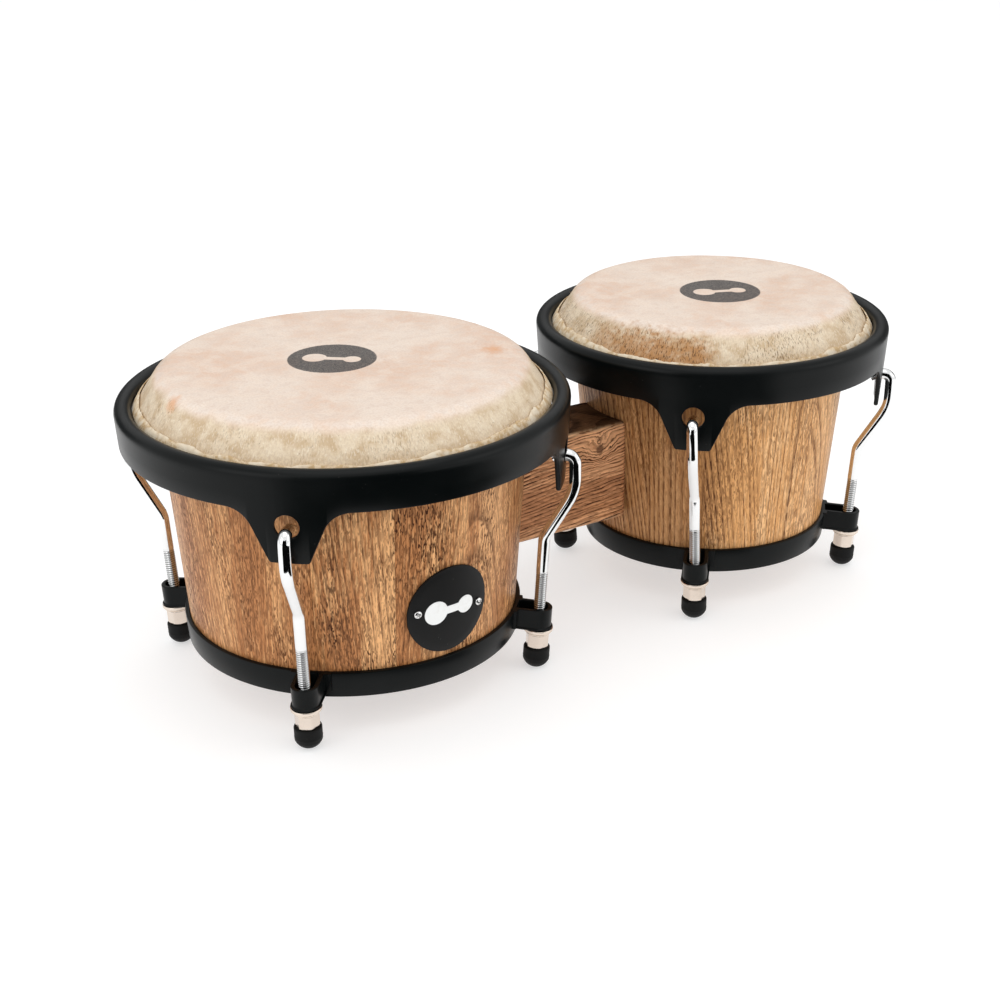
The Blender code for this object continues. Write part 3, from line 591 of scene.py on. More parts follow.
def print_group():
    """A round ink print with a plain sign left out of it: two drums from above, joined."""
    tree, g, given, out = new_group(
        "round_print",
        {
            "Position": (VECTOR, (0, 0, 0)),
            "Centre": (VECTOR, (0, 0, 0)),
            "Radius": (FLOAT, 23.0 * MM),
            "Turn": (FLOAT, 0.0),
        },
        {"Ink": FLOAT},
    )
    off = g.vector("SUBTRACT", given["Position"], given["Centre"])
    turn = g.node("ShaderNodeVectorRotate", {"rotation_type": "Z_AXIS"}, Vector=off)
    g.feed(turn.inputs["Angle"], given["Turn"])
    # from here on a length is a share of the print's radius
    x, y, _ = g.split(g.vector("DIVIDE", turn.outputs[0], g.join(*[given["Radius"]] * 3)))
    rough = g.centred(g.noise(given["Position"], scale=1300.0, detail=2.0))
    reach = g.times_plus(rough, 0.04, g.vector("LENGTH", g.join(x, y, 0.0)))
    disc = g.ramp(reach, 0.975, 1.0, 1.0, 0.0)

    def spot(centre, radius):
        away = g.vector("LENGTH", g.join(g.minus(x, centre), y, 0.0))
        return g.ramp(away, radius - 0.01, radius + 0.01, 1.0, 0.0)

    large_spot, small_spot = spot(-0.4, 0.27), spot(0.45, 0.2)
    bar_along = g.ramp(g.math("ABSOLUTE", g.minus(x, 0.06)), 0.3, 0.32, 1.0, 0.0)
    bar_across = g.ramp(g.math("ABSOLUTE", y), 0.085, 0.1, 1.0, 0.0)
    left_open = g.math("MAXIMUM", large_spot, small_spot)
    left_open = g.math("MAXIMUM", left_open, g.times(bar_along, bar_across))
    lost = g.noise(given["Position"], scale=1500.0, detail=3.0, roughness=0.7)
    ink = g.times(disc, g.minus(1.0, left_open))
    g.give(out, Ink=g.times(ink, g.ramp(lost, 0.36, 0.62, 1.0, 0.8)))
    return tree


def coat_group():
    """Powder coat on steel: a fine orange-peel surface, with dust and a few scuffed spots."""
    tree, g, given, out = new_group(
        "powder_coat",
        {
            "Position": (VECTOR, (0, 0, 0)),
            "Base": (COLOUR, (0.0014, 0.0024, 0.0025, 1)),
            "Roughness": (FLOAT, 0.24),
            "Dust": (FLOAT, 0.3),
        },
        {"Color": COLOUR, "Roughness": FLOAT, "Height": FLOAT},
    )
    place = given["Position"]
    peel = g.noise(place, scale=1500.0, detail=2.0)
    cloud = g.noise(place, scale=30.0, detail=3.0)
    dots = g.ramp(g.spots(place, scale=420.0), 0.03, 0.11, 1.0, 0.0)
    some = g.ramp(g.noise(place, scale=70.0, detail=2.0), 0.56, 0.68)
    dust = g.times(g.times(dots, some), given["Dust"])
    hazy = g.mix(g.ramp(cloud, 0.4, 0.7, 0.0, 0.08), given["Base"], (0.02, 0.023, 0.023, 1))
    rough = g.times_plus(cloud, 0.14, given["Roughness"])
    g.give(
        out,
        Color=g.mix(dust, hazy, (0.2, 0.2, 0.19, 1)),
        Roughness=g.times_plus(dust, 0.4, rough),
        Height=g.times_plus(dots, 0.2, peel),
    )
    return tree


def metal_group():
    """Plated metal: handling smudges, hairline scratches and grime where it collects."""
    tree, g, given, out = new_group(
        "plated_metal",
        {
            "Position": (VECTOR, (0, 0, 0)),
            "Clean": (COLOUR, (0.9, 0.9, 0.9, 1)),
            "Grime": (COLOUR, (0.3, 0.26, 0.2, 1)),
            "Roughness": (FLOAT, 0.06),
            "Wear": (FLOAT, 0.3),
            "Collects": (FLOAT, 0.0),
        },
        {"Color": COLOUR, "Roughness": FLOAT, "Height": FLOAT},
    )
    place = given["Position"]
    smudge = g.noise(place, scale=60.0, detail=4.0)
    lines = g.stretched_noise(place, (500.0, 500.0, 4200.0))
    pits = g.ramp(g.spots(place, scale=900.0), 0.02, 0.1, 1.0, 0.0)
    grime = g.times(g.ramp(smudge, 0.5, 0.8), given["Wear"])
    grime = g.math("MAXIMUM", grime, given["Collects"])
    rough = g.times_plus(g.times(smudge, given["Wear"]), 0.25, given["Roughness"])
    rough = g.times_plus(g.times(pits, given["Wear"]), 0.2, rough)
    g.give(
        out,
        Color=g.mix(grime, given["Clean"], given["Grime"]),
        Roughness=g.times_plus(grime, 0.2, rough),
        Height=g.minus(g.times(lines, 0.5), pits),
    )
    return tree


GROUPS = {
    "grain": grain_group(),
    "staves": stave_group(),
    "hide": hide_group(),
    "stain": stain_group(),
    "print": print_group(),
    "coat": coat_group(),
    "metal": metal_group(),
}


class Finish(Graph):
    """A material with one Principled shader, and its effect groups."""

    def __init__(self, name, **constants):
        self.material = bpy.data.materials.new(name)
        self.material.use_nodes = True
        super().__init__(self.material.node_tree)
        self.shader = self.tree.nodes["Principled BSDF"]
        self.place = self.node("ShaderNodeTexCoord").outputs["Object"]
        for label, value in constants.items():
            self.shader.inputs[label.replace("_", " ")].default_value = value

    def group(self, key, **values):
        made = self.node("ShaderNodeGroup", {"node_tree": GROUPS[key]})
        for label, value in values.items():
            self.feed(made.inputs[label.replace("_", " ")], value)
        return made.outputs

    def surface(self, colour, roughness, height, depth, strength=1.0):
        """Feeds the shader. depth is how far the relief goes, in metres."""
        self.feed(self.shader.inputs["Base Color"], colour)
        self.feed(self.shader.inputs["Roughness"], roughness)
        bump = self.node("ShaderNodeBump", Height=height, Distance=depth, Strength=strength)
        self.feed(self.shader.inputs["Normal"], bump.outputs[0])
        return self.material


def shell_wood(
    drum,
    name,
    seed,
    ring_width,
    light,
    middle,
    dark,
    flecks,
    lines,
    slant=0.0,
    dark_side=None,
    lacquered=True,
):
    """A shell's staves. Those facing the given side, in degrees, are closer grained and
    darkened with painted shade.
    """
    lacquer = {"Coat_Weight": 0.1, "Coat_Roughness": 0.18, "Specular_IOR_Level": 0.12}
    f = Finish(name, **(lacquer if lacquered else {"Specular_IOR_Level": 0.2}))
    staves = f.group(
        "staves",
        Position=f.place,
        Centre=(drum.centre_x, 0, 0),
        Radius=drum.shell_outer((SHELL_TOP + SHELL_BOTTOM) / 2),
        Slant=slant,
    )
    side = 0.0
    if dark_side is not None:
        turn = math.radians(dark_side)
        away = f.vector("SUBTRACT", f.place, (drum.centre_x, 0, 0))
        flat = f.vector("NORMALIZE", f.vector("MULTIPLY", away, (1, 1, 0)))
        facing = f.vector("DOT_PRODUCT", flat, (math.cos(turn), math.sin(turn), 0))
        side = f.ramp(facing, 0.72, 0.9)
    grain = f.group(
        "grain",
        Position=staves["Position"],
        Seed=f.plus(staves["Seed"], seed),
        Ring_Width=ring_width,
        Pith=(0.0, 0.045, 0.0),
        Flecks=flecks,
        Lines=f.times_plus(side, 0.25, lines),
        Band=f.times_plus(side, 0.2, 0.5),
        Light=light,
        Middle=middle,
        Dark=dark,
    )
    tinted = f.mix(f.ramp(staves["Tint"], 0, 1, 0.0, 0.28), grain["Color"], middle)
    colour = f.mix(f.times(staves["Joint"], 0.2), tinted, dark)
    # painted shade: the staves on the given side are darkened
    colour = f.mix(f.times(side, 0.75), colour, (0.58, 0.50, 0.43, 1), "MULTIPLY")
    rough = grain["Roughness"] if lacquered else f.plus(grain["Roughness"], 0.3)
    return f.surface(colour, rough, grain["Height"], 0.12 * MM, 0.5 if lacquered else 1.0)


def block_wood():
    f = Finish(
        "block_lacquered_wood", Coat_Weight=0.06, Coat_Roughness=0.2, Specular_IOR_Level=0.1
    )
    x, y, z = f.split(f.place)
    # The grain runs along X. A small knot near the front's upper right bends it.
    rough = f.noise(f.place, scale=260.0, detail=3.0)
    knot = f.vector("DISTANCE", f.join(x, 0.0, f.times(z, KNOT_SQUASH)), KNOT_PLACE)
    knot = f.times_plus(f.centred(rough), 9 * MM, knot)
    push = f.ramp(knot, 0.0, 15 * MM, 6 * MM, 0.0)
    wave = f.stretched_noise(f.place, (60.0, 60.0, 130.0), 1.0)
    across = f.times_plus(wave, 2.2 * MM, f.plus(z, push))
    grain = f.group(
        "grain",
        Position=f.join(across, y, x),
        Seed=5.3,
        Ring_Width=2.1 * MM,
        Wander=5.0 * MM,
        Pith=(0.2, -0.005, 0.0),
        Rise=0.1,
        Band=0.66,
        Flecks=0.4,
        Light=(0.80, 0.41, 0.20, 1),
        Middle=(0.50, 0.22, 0.095, 1),
        Dark=(0.035, 0.009, 0.003, 1),
    )
    heart = f.ramp(knot, 1.0 * MM, 4.0 * MM, 0.75, 0.0)
    colour = f.mix(heart, grain["Color"], (0.055, 0.018, 0.008, 1))
    # painted shade: the top face is darkened where the rims above shade it, together with a
    # darker stain
    top = f.ramp(z, BLOCK_HIGH.z - 1.2 * MM, BLOCK_HIGH.z - 0.2 * MM, 0.0, 0.82)
    colour = f.mix(top, colour, (0.02, 0.007, 0.002, 1))
    # lighter along the rounded long edges: worn wood, and a painted highlight where the edges
    # catch the light
    worn_edge_highlight = f.node("ShaderNodeAttribute", {"attribute_name": "edge"}).outputs["Fac"]
    broken = f.ramp(f.noise(f.place, scale=240.0, detail=3.0), 0.35, 0.6)
    worn_edge_highlight = f.times(f.times(worn_edge_highlight, broken), 0.75)
    colour = f.mix(worn_edge_highlight, colour, (0.72, 0.50, 0.30, 1))
    return f.surface(colour, grain["Roughness"], grain["Height"], 0.12 * MM, 0.5)


def drum_hide(drum, name, hairiness, mark_offset, mark_turn, stains):
    f = Finish(name, Specular_IOR_Level=0.3)
    centre = (drum.centre_x, 0, HEAD_TOP)
    hide = f.group(
        "hide", Position=f.place, Centre=centre, Reach=drum.hoop_inner, Hairiness=hairiness
    )
    colour = hide["Color"]
    for (angle, radius, drop), size, tint, strength in stains:
        x, y, z = polar(radius * MM, math.radians(angle), HEAD_TOP - drop * MM)
        spot = (drum.centre_x + x, y, z)
        mask = f.group("stain", Position=f.place, Centre=spot, Radius=size, Broken=1.2)["Mask"]
        mask = f.times(mask, strength)
        colour = f.mix(mask, colour, tint)
        dark = f.times(hide["Hairs"], mask)
        colour = f.mix(dark, colour, STAINED_HAIR)
    ink = f.group(
        "print",
        Position=f.place,
        Centre=(drum.centre_x + mark_offset[0], mark_offset[1], HEAD_TOP),
        Radius=PRINT_RADIUS,
        Turn=mark_turn,
    )["Ink"]
    on_top = f.ramp(f.split(f.place)[2], HEAD_TOP - 3 * MM, HEAD_TOP - 2.5 * MM)
    ink = f.times(ink, on_top)
    colour = f.mix(ink, colour, INK)
    return f.surface(colour, hide["Roughness"], hide["Height"], 0.18 * MM, 0.6)


def black_steel():
    f = Finish("black_powder_coat", Specular_IOR_Level=0.16)
    coat = f.group("coat", Position=f.place)
    return f.surface(coat["Color"], coat["Roughness"], coat["Height"], 0.03 * MM, 0.35)


def rubber():
    f = Finish("black_rubber", Specular_IOR_Level=0.16)
    coat = f.group(
        "coat", Position=f.place, Base=(0.005, 0.005, 0.005, 1), Roughness=0.5, Dust=0.5
    )
    # the sole picks up dust from the floor
    sole = f.ramp(f.split(f.place)[2], 0.5 * MM, 3.0 * MM, 0.5, 0.0)
    sole = f.times(sole, f.noise(f.place, scale=700.0, detail=3.0))
    colour = f.mix(sole, coat["Color"], (0.07, 0.066, 0.06, 1))
    return f.surface(colour, coat["Roughness"], coat["Height"], 0.06 * MM, 0.5)


def plate_black():
    f = Finish("matt_black_plate", Specular_IOR_Level=0.2)
    coat = f.group(
        "coat", Position=f.place, Base=(0.007, 0.007, 0.007, 1), Roughness=0.42, Dust=0.5
    )
    return f.surface(coat["Color"], coat["Roughness"], coat["Height"], 0.02 * MM, 0.3)


def enamel_white():
    f = Finish("white_enamel")
    cloud = f.noise(f.place, scale=500.0, detail=3.0)
    colour = f.mix(f.ramp(cloud, 0.45, 0.75), (0.88, 0.89, 0.88, 1), (0.83, 0.83, 0.81, 1))
    return f.surface(colour, f.ramp(cloud, 0.3, 0.7, 0.32, 0.42), cloud, 0.01 * MM, 0.2)


def plated(name, clean, grime, roughness, wear, threaded=False):
    f = Finish(name, Metallic=1.0)
    collects = 0.0
    if threaded:
        root = f.node("ShaderNodeAttribute", {"attribute_name": "thread_root"})
        collects = f.times(root.outputs["Fac"], 0.95)
    metal = f.group(
        "metal",
        Position=f.place,
        Clean=clean,
        Grime=grime,
        Roughness=roughness,
        Wear=wear,
        Collects=collects,
    )
    return f.surface(metal["Color"], metal["Roughness"], metal["Height"], 0.01 * MM, 0.25)


def cut_edge():
    """The skin's raw edge: dry, creased and darker than its outside."""
    f = Finish("skin_cut_edge", Specular_IOR_Level=0.2)
    coarse = f.noise(f.place, scale=330.0, detail=4.0, roughness=0.65)
    tint = f.mix(f.ramp(coarse, 0.4, 0.6), (0.74, 0.60, 0.42, 1), (0.56, 0.39, 0.21, 1))
    pale = f.ramp(f.noise(f.place, scale=140.0, detail=2.0), 0.45, 0.62, 0.0, 0.7)
    tint = f.mix(pale, tint, (0.84, 0.75, 0.60, 1))
    return f.surface(tint, f.ramp(coarse, 0.3, 0.7, 0.6, 0.8), coarse, 0.5 * MM)


def hair_strands():
    f = Finish("hair_stubble")
    tint = f.noise(f.place, scale=150.0)
    colour = f.mix(f.ramp(tint, 0.4, 0.6), (0.16, 0.09, 0.045, 1), (0.42, 0.28, 0.15, 1))
    return f.surface(colour, f.ramp(tint, 0.3, 0.7, 0.5, 0.65), tint, 0.02 * MM)


# ---- marks and stains on the wood and the skins -------------------------------------

PRINT_RADIUS = 23.2 * MM
INK = (0.03, 0.031, 0.033, 1)
KNOT_SQUASH = 1.25  # the knot is wider than it is high
KNOT_PLACE = (
    (BLOCK_LOW.x + BLOCK_HIGH.x) / 2 + 19 * MM,
    0,
    (BLOCK_HIGH.z - 13 * MM) * KNOT_SQUASH,
)
ORANGE = (0.72, 0.33, 0.13, 1)
BROWN = (0.45, 0.205, 0.06, 1)
STAINED_HAIR = (0.10, 0.05, 0.018, 1)
# ((direction in degrees, radius, drop below the top, both in mm), size, colour, strength)
LARGE_STAINS = [
    ((340, 78.3, 0), 8.5 * MM, ORANGE, 0.6),
    ((184, 95.3, 2.9), 6.5 * MM, ORANGE, 0.6),
]
SMALL_STAINS = [
    ((190, 90, 11), 17 * MM, BROWN, 0.55),
    ((202, 90, 11), 20 * MM, BROWN, 0.85),
    ((214, 90, 12), 20 * MM, BROWN, 0.9),
    ((226, 90, 12), 17 * MM, BROWN, 0.9),
]

LARGE_WOOD = {
    "light": (0.86, 0.465, 0.205, 1),
    "middle": (0.49, 0.205, 0.074, 1),
    "dark": (0.045, 0.012, 0.003, 1),
    "flecks": 0.8,
    "lines": 0.66,
}
SMALL_WOOD = {
    "light": (0.95, 0.57, 0.275, 1),
    "middle": (0.71, 0.36, 0.135, 1),
    "dark": (0.09, 0.026, 0.006, 1),
    "flecks": 0.55,
    "lines": 0.72,
    "slant": 0.05,
    # the side towards the large drum: closer grain, and painted shade
    "dark_side": 198,
}
BARE_WOOD = {
    "light": (0.66, 0.45, 0.27, 1),
    "middle": (0.52, 0.32, 0.17, 1),
    "dark": (0.22, 0.11, 0.05, 1),
    "flecks": 0.5,
    "lines": 0.6,
    "lacquered": False,
}

LOOKS = {
    "large_wood": shell_wood(LARGE, "large_shell_wood", 2.0, 2.4 * MM, **LARGE_WOOD),
    "small_wood": shell_wood(SMALL, "small_shell_wood", 11.0, 3.0 * MM, **SMALL_WOOD),
    "large_bare": shell_wood(LARGE, "large_bare_wood", 4.0, 4.4 * MM, **BARE_WOOD),
    "small_bare": shell_wood(SMALL, "small_bare_wood", 13.0, 5.0 * MM, **BARE_WOOD),
    "block_wood": block_wood(),
    "large_hide": drum_hide(
        LARGE, "large_rawhide", 0.35, (-3.3 * MM, 5.5 * MM), math.radians(40), LARGE_STAINS
    ),
    "small_hide": drum_hide(
        SMALL, "small_rawhide", 0.8, (1.3 * MM, -5.7 * MM), math.radians(22), SMALL_STAINS
    ),
    "black_steel": black_steel(),
    "rubber": rubber(),
    "plate": plate_black(),
    "enamel": enamel_white(),
    "chrome": plated(
        "rod_chrome", (0.88, 0.89, 0.89, 1), (0.2, 0.2, 0.2, 1), 0.05, 0.12, threaded=True
    ),
    "screw_chrome": plated(
        "screw_steel", (0.85, 0.85, 0.84, 1), (0.3, 0.28, 0.26, 1), 0.15, 0.4
    ),
    "nickel": plated("warm_nickel", (0.80, 0.70, 0.61, 1), (0.42, 0.34, 0.26, 1), 0.13, 0.35),
    "zinc": plated("zinc_plate", (0.72, 0.71, 0.66, 1), (0.35, 0.33, 0.26, 1), 0.28, 0.6),
    "hoop": plated("hoop_steel", (0.5, 0.5, 0.49, 1), (0.25, 0.17, 0.1, 1), 0.35, 0.7),
    "hair": hair_strands(),
    "cut_edge": cut_edge(),
}

# ---- modelling helpers --------------------------------------------------------------


def loft(rings, closed=True):
    """Walls through rings of the same number of points; closed joins the last to the first."""
    bm = bmesh.new()
    loops = [[bm.verts.new(point) for point in ring] for ring in rings]
    after = loops[1:] + (loops[:1] if closed else [])
    for lower, upper in zip(loops, after):
        for i in range(len(lower)):
            j = (i + 1) % len(lower)
            bm.faces.new((lower[i], lower[j], upper[j], upper[i]))
    return bm


def circle(radius, z, steps, shape=None):
    """A ring of points. With a shape, which gives the reach at an angle, radius isn't used."""
    angles = [FULL_TURN * i / steps for i in range(steps)]
    return [polar(shape(angle) if shape else radius, angle, z) for angle in angles]


def capped(rings):
    """Walls through rings, with a flat face over the first and the last."""
    bm = loft(rings, closed=False)
    bm.verts.ensure_lookup_table()
    size = len(rings[0])
    bm.faces.new(bm.verts[:size])
    bm.faces.new(bm.verts[-size:])
    return bm


def fan(bm, start, steps, point):
    """Closes the ring whose first point has this number with triangles to one more point."""
    pole = bm.verts.new(point)
    bm.verts.ensure_lookup_table()
    for i in range(steps):
        bm.faces.new((bm.verts[start + i], bm.verts[start + (i + 1) % steps], pole))


def turned_ring(profile, steps=ROUND_STEPS):
    """A body turned round Z from a closed (radius, z) outline that stays clear of the axis."""
    return loft([circle(radius, z, steps) for radius, z in profile])


def turned_solid(profile, steps=ROUND_STEPS):
    """A body turned round Z from an open (radius, z) outline with both ends on the axis."""
    bm = loft([circle(radius, z, steps) for radius, z in profile[1:-1]], closed=False)
    last = len(bm.verts) - steps
    fan(bm, 0, steps, (0, 0, profile[0][1]))
    fan(bm, last, steps, (0, 0, profile[-1][1]))
    return bm


def arc(centre, radius, start, end, steps):
    """(steps + 1) points of an arc, angles in degrees."""
    points = []
    for i in range(steps + 1):
        x, y, _ = polar(radius, math.radians(start + (end - start) * i / steps), 0)
        points.append((centre[0] + x, centre[1] + y))
    return points


def rounded_box(left, right, low, high, radius, steps=4):
    """A rectangle's outline with rounded corners, as (radius, z) points."""
    outline = arc((right - radius, high - radius), radius, 0, 90, steps)
    outline += arc((left + radius, high - radius), radius, 90, 180, steps)
    outline += arc((left + radius, low + radius), radius, 180, 270, steps)
    outline += arc((right - radius, low + radius), radius, 270, 360, steps)
    return outline


def mesh_from(bm, matrix=None):
    bmesh.ops.recalc_face_normals(bm, faces=bm.faces)
    mesh = bpy.data.meshes.new("made")
    bm.to_mesh(mesh)
    bm.free()
    if matrix is not None:
        mesh.transform(matrix)
    return mesh


def evaluated(obj):
    """The object's mesh with its modifiers worked in."""
    graph = bpy.context.evaluated_depsgraph_get()
    return bpy.data.meshes.new_from_object(obj.evaluated_get(graph), depsgraph=graph)


def holder(mesh):
    obj = bpy.data.objects.new("holder", mesh)
    bpy.context.collection.objects.link(obj)
    return obj


def carved(mesh, others, operation="DIFFERENCE"):
    """The mesh with the other meshes cut from it, or joined on."""
    obj = holder(mesh)
    tools = [holder(other) for other in others]
    for tool in tools:
        boolean = obj.modifiers.new("carve", "BOOLEAN")
        boolean.operation = operation
        boolean.solver = "EXACT"
        boolean.object = tool
    bpy.context.view_layer.update()
    made = evaluated(obj)
    for used in (obj, *tools):
        bpy.data.objects.remove(used, do_unlink=True)
    return made


def piece(name, mesh, looks, replaces, body=None, smooth=35):
    """A finished piece at the origin."""
    mesh.name = name
    mesh.materials.clear()
    for look in looks if isinstance(looks, (list, tuple)) else [looks]:
        mesh.materials.append(LOOKS[look])
    mesh.shade_smooth()
    mesh.set_sharp_from_angle(angle=math.radians(smooth))
    obj = bpy.data.objects.new(name, mesh)
    bpy.context.collection.objects.link(obj)
    if body:
        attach(obj, body)
    if replaces:
        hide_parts(*replaces)
    return obj


# ---- geometry node trees ------------------------------------------------------------


def new_geometry_tree(name, sizes):
    """(tree, its Graph, its input sockets, its output node). sizes gives each named size."""
    tree = bpy.data.node_groups.new(name, "GeometryNodeTree")
    tree.interface.new_socket("Geometry", in_out="INPUT", socket_type="NodeSocketGeometry")
    for label, (kind, default) in sizes.items():
        socket = tree.interface.new_socket(label, in_out="INPUT", socket_type=kind)
        if kind != "NodeSocketMaterial":
            socket.default_value = default
    tree.interface.new_socket("Geometry", in_out="OUTPUT", socket_type="NodeSocketGeometry")
    graph = Graph(tree)
    return tree, graph, graph.node("NodeGroupInput").outputs, graph.node("NodeGroupOutput")


def grown(mesh, tree, **sizes):
    """The mesh that a geometry node tree makes from this one, with these sizes."""
    obj = holder(mesh)
    modifier = obj.modifiers.new("grow", "NODES")
    modifier.node_group = tree
    for item in tree.interface.items_tree:
        label = item.name.replace(" ", "_")
        if item.in_out == "INPUT" and label in sizes:
            modifier[item.identifier] = sizes[label]
    bpy.context.view_layer.update()
    made = evaluated(obj)
    bpy.data.objects.remove(obj, do_unlink=True)
    return made


def capture(g, geometry, kind, value):
    """Keeps a field on the geometry's points: (geometry, the kept field)."""
    made = g.node("GeometryNodeCaptureAttribute")
    made.capture_items.new(kind, "kept")
    g.feed(made.inputs[0], geometry)
    g.feed(made.inputs[1], value)
    return made.outputs[0], made.outputs[1]


def finish_tree(g, out, geometry, finish):
    """Ends a tree as the export needs it: instances made real, then one material."""
    real = g.node("GeometryNodeRealizeInstances", Geometry=geometry).outputs[0]
    painted = g.node("GeometryNodeSetMaterial", Geometry=real, Material=finish)
    g.give(out, Geometry=painted.outputs[0])


def threaded_rod_tree():
    """A round rod along a line of edges, with a rolled thread over its last stretch."""
    tree, g, given, out = new_geometry_tree(
        "threaded_rod",
        {
            "Rod Radius": (FLOAT, ROD_RADIUS),
            "Thread Pitch": (FLOAT, THREAD_PITCH),
            "Thread Depth": (FLOAT, THREAD_DEPTH),
            "Plain Length": (FLOAT, 0.1),
            "Sides": ("NodeSocketInt", 16),
            "Finish": ("NodeSocketMaterial", None),
        },
    )
    line = g.node("GeometryNodeMeshToCurve", Mesh=given["Geometry"]).outputs[0]
    line, centre = capture(g, line, "VECTOR", g.node("GeometryNodeInputPosition").outputs[0])
    run = g.node("GeometryNodeSplineParameter").outputs["Length"]
    line, along = capture(g, line, "FLOAT", run)
    round_line = g.node(
        "GeometryNodeCurvePrimitiveCircle",
        Resolution=given["Sides"],
        Radius=given["Rod Radius"],
    ).outputs[0]
    factor = g.node("GeometryNodeSplineParameter").outputs["Factor"]
    round_line, around = capture(g, round_line, "FLOAT", factor)
    rod = g.node("GeometryNodeCurveToMesh")
    g.feed(rod.inputs["Curve"], line)
    g.feed(rod.inputs["Profile Curve"], round_line)
    rod.inputs["Fill Caps"].default_value = True
    turns = g.minus(g.math("DIVIDE", along, given["Thread Pitch"]), around)
    groove = g.times(g.math("PINGPONG", turns, 0.5), 2.0)
    # the thread grows to its full depth over its first 2.5 mm
    begun = g.times(g.minus(along, given["Plain Length"]), 400.0, clamp=True)
    groove = g.times(groove, begun)
    out_way = g.vector("SUBTRACT", g.node("GeometryNodeInputPosition").outputs[0], centre)
    out_way = g.vector("NORMALIZE", out_way)
    depth = g.times(g.times(groove, given["Thread Depth"]), -1.0)
    moved = g.node("GeometryNodeSetPosition")
    g.feed(moved.inputs["Geometry"], rod.outputs[0])
    g.feed(moved.inputs["Offset"], g.vector("SCALE", out_way, scale=depth))
    kind = {"data_type": "FLOAT", "domain": "POINT"}
    stored = g.node("GeometryNodeStoreNamedAttribute", kind)
    g.feed(stored.inputs["Geometry"], moved.outputs[0])
    stored.inputs["Name"].default_value = "thread_root"
    g.feed(stored.inputs["Value"], groove)
    finish_tree(g, out, stored.outputs[0], given["Finish"])
    return tree


def stubble_tree():
    """Short stiff hairs scattered over a skin's outside, lying down its slope."""
    tree, g, given, out = new_geometry_tree(
        "hair_stubble",
        {
            "Density": (FLOAT, 30000.0),
            "Hair Length": (FLOAT, 1.5 * MM),
            "Hair Radius": (FLOAT, 0.07 * MM),
            "Lie": (FLOAT, 1.0),
            "Seed": ("NodeSocketInt", 1),
            "Finish": ("NodeSocketMaterial", None),
        },
    )
    points = g.node("GeometryNodeDistributePointsOnFaces")
    g.feed(points.inputs["Mesh"], given["Geometry"])
    chance = g.node("GeometryNodeInputNamedAttribute", {"data_type": "FLOAT"})
    chance.inputs["Name"].default_value = "hairy"
    g.feed(points.inputs["Density"], g.times(chance.outputs[0], given["Density"]))
    g.feed(points.inputs["Seed"], given["Seed"])
    cone = g.node("GeometryNodeMeshCone", Vertices=3)
    cone.inputs["Radius Top"].default_value = 0.01 * MM
    g.feed(cone.inputs["Radius Bottom"], given["Hair Radius"])
    g.feed(cone.inputs["Depth"], given["Hair Length"])
    lean = g.node("FunctionNodeRandomValue", {"data_type": "FLOAT_VECTOR"})
    lean.inputs["Min"].default_value = (-0.5, -0.5, -0.9)
    lean.inputs["Max"].default_value = (0.5, 0.5, -0.1)
    g.feed(lean.inputs["Seed"], given["Seed"])
    lying = g.vector("SCALE", lean.outputs[0], scale=given["Lie"])
    way = g.vector("ADD", points.outputs["Normal"], lying)
    turn = g.node("FunctionNodeAlignRotationToVector", {"axis": "Z"})
    g.feed(turn.inputs["Vector"], way)
    size = g.node("FunctionNodeRandomValue", {"data_type": "FLOAT"})
    size.inputs["Min"].default_value = 0.45
    size.inputs["Max"].default_value = 1.3
    g.feed(size.inputs["Seed"], given["Seed"])
    set_on = g.node("GeometryNodeInstanceOnPoints")
    g.feed(set_on.inputs["Points"], points.outputs["Points"])
    g.feed(set_on.inputs["Instance"], cone.outputs[0])
    g.feed(set_on.inputs["Rotation"], turn.outputs[0])
    g.feed(set_on.inputs["Scale"], size.outputs[1])
    finish_tree(g, out, set_on.outputs[0], given["Finish"])
    return tree


TREES = {"rod": threaded_rod_tree(), "stubble": stubble_tree()}

# ---- shells -------------------------------------------------------------------------


def cutter(radius, length, matrix, steps=FINE_STEPS):
    """A round cutter along the matrix's Z, turned so that no corner meets a seam."""
    outline = [(0, 0), (radius, 0), (radius, length), (0, length)]
    return mesh_from(
        turned_solid(outline, steps), matrix @ Matrix.Rotation(math.pi / steps / 2, 4, "Z")
    )


def bolt_heights():
    boxes = [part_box(f"block_bolt_{number}") for number in (1, 2)]
    return [(low.z + high.z) / 2 for low, high in boxes]


def bolt_frame(x, z):
    return Matrix.Translation((x, 0, z)) @ Matrix.Rotation(QUARTER, 4, "Y")


def seat_x(drum, z):
    side = 1 if drum is LARGE else -1
    return drum.centre_x + side * (drum.shell_inner(z) + SEAT_DEPTH)


def shell_cutters(drum):
    """The bolts' holes and flat seats, and on the large shell the badge screws' holes."""
    tools = []
    for z in bolt_heights():
        hole = bolt_frame(drum.centre_x, z)
        seat = bolt_frame(seat_x(drum, z), z)
        deep = 2 * RUNOFF
        if drum is LARGE:
            seat = seat @ Matrix.Translation((0, 0, -deep))
        else:
            hole = hole @ Matrix.Rotation(math.pi, 4, "Y")
        tools.append(cutter(BOLT_RADIUS + GAP, drum.head_radius + RUNOFF, hole, 24))
        tools.append(cutter(BOLT_WASHER_RADIUS + GAP, deep, seat, 40))
    if drum is LARGE:
        tools += [screw_hole(drum, side) for side in (-1, 1)]
    return tools


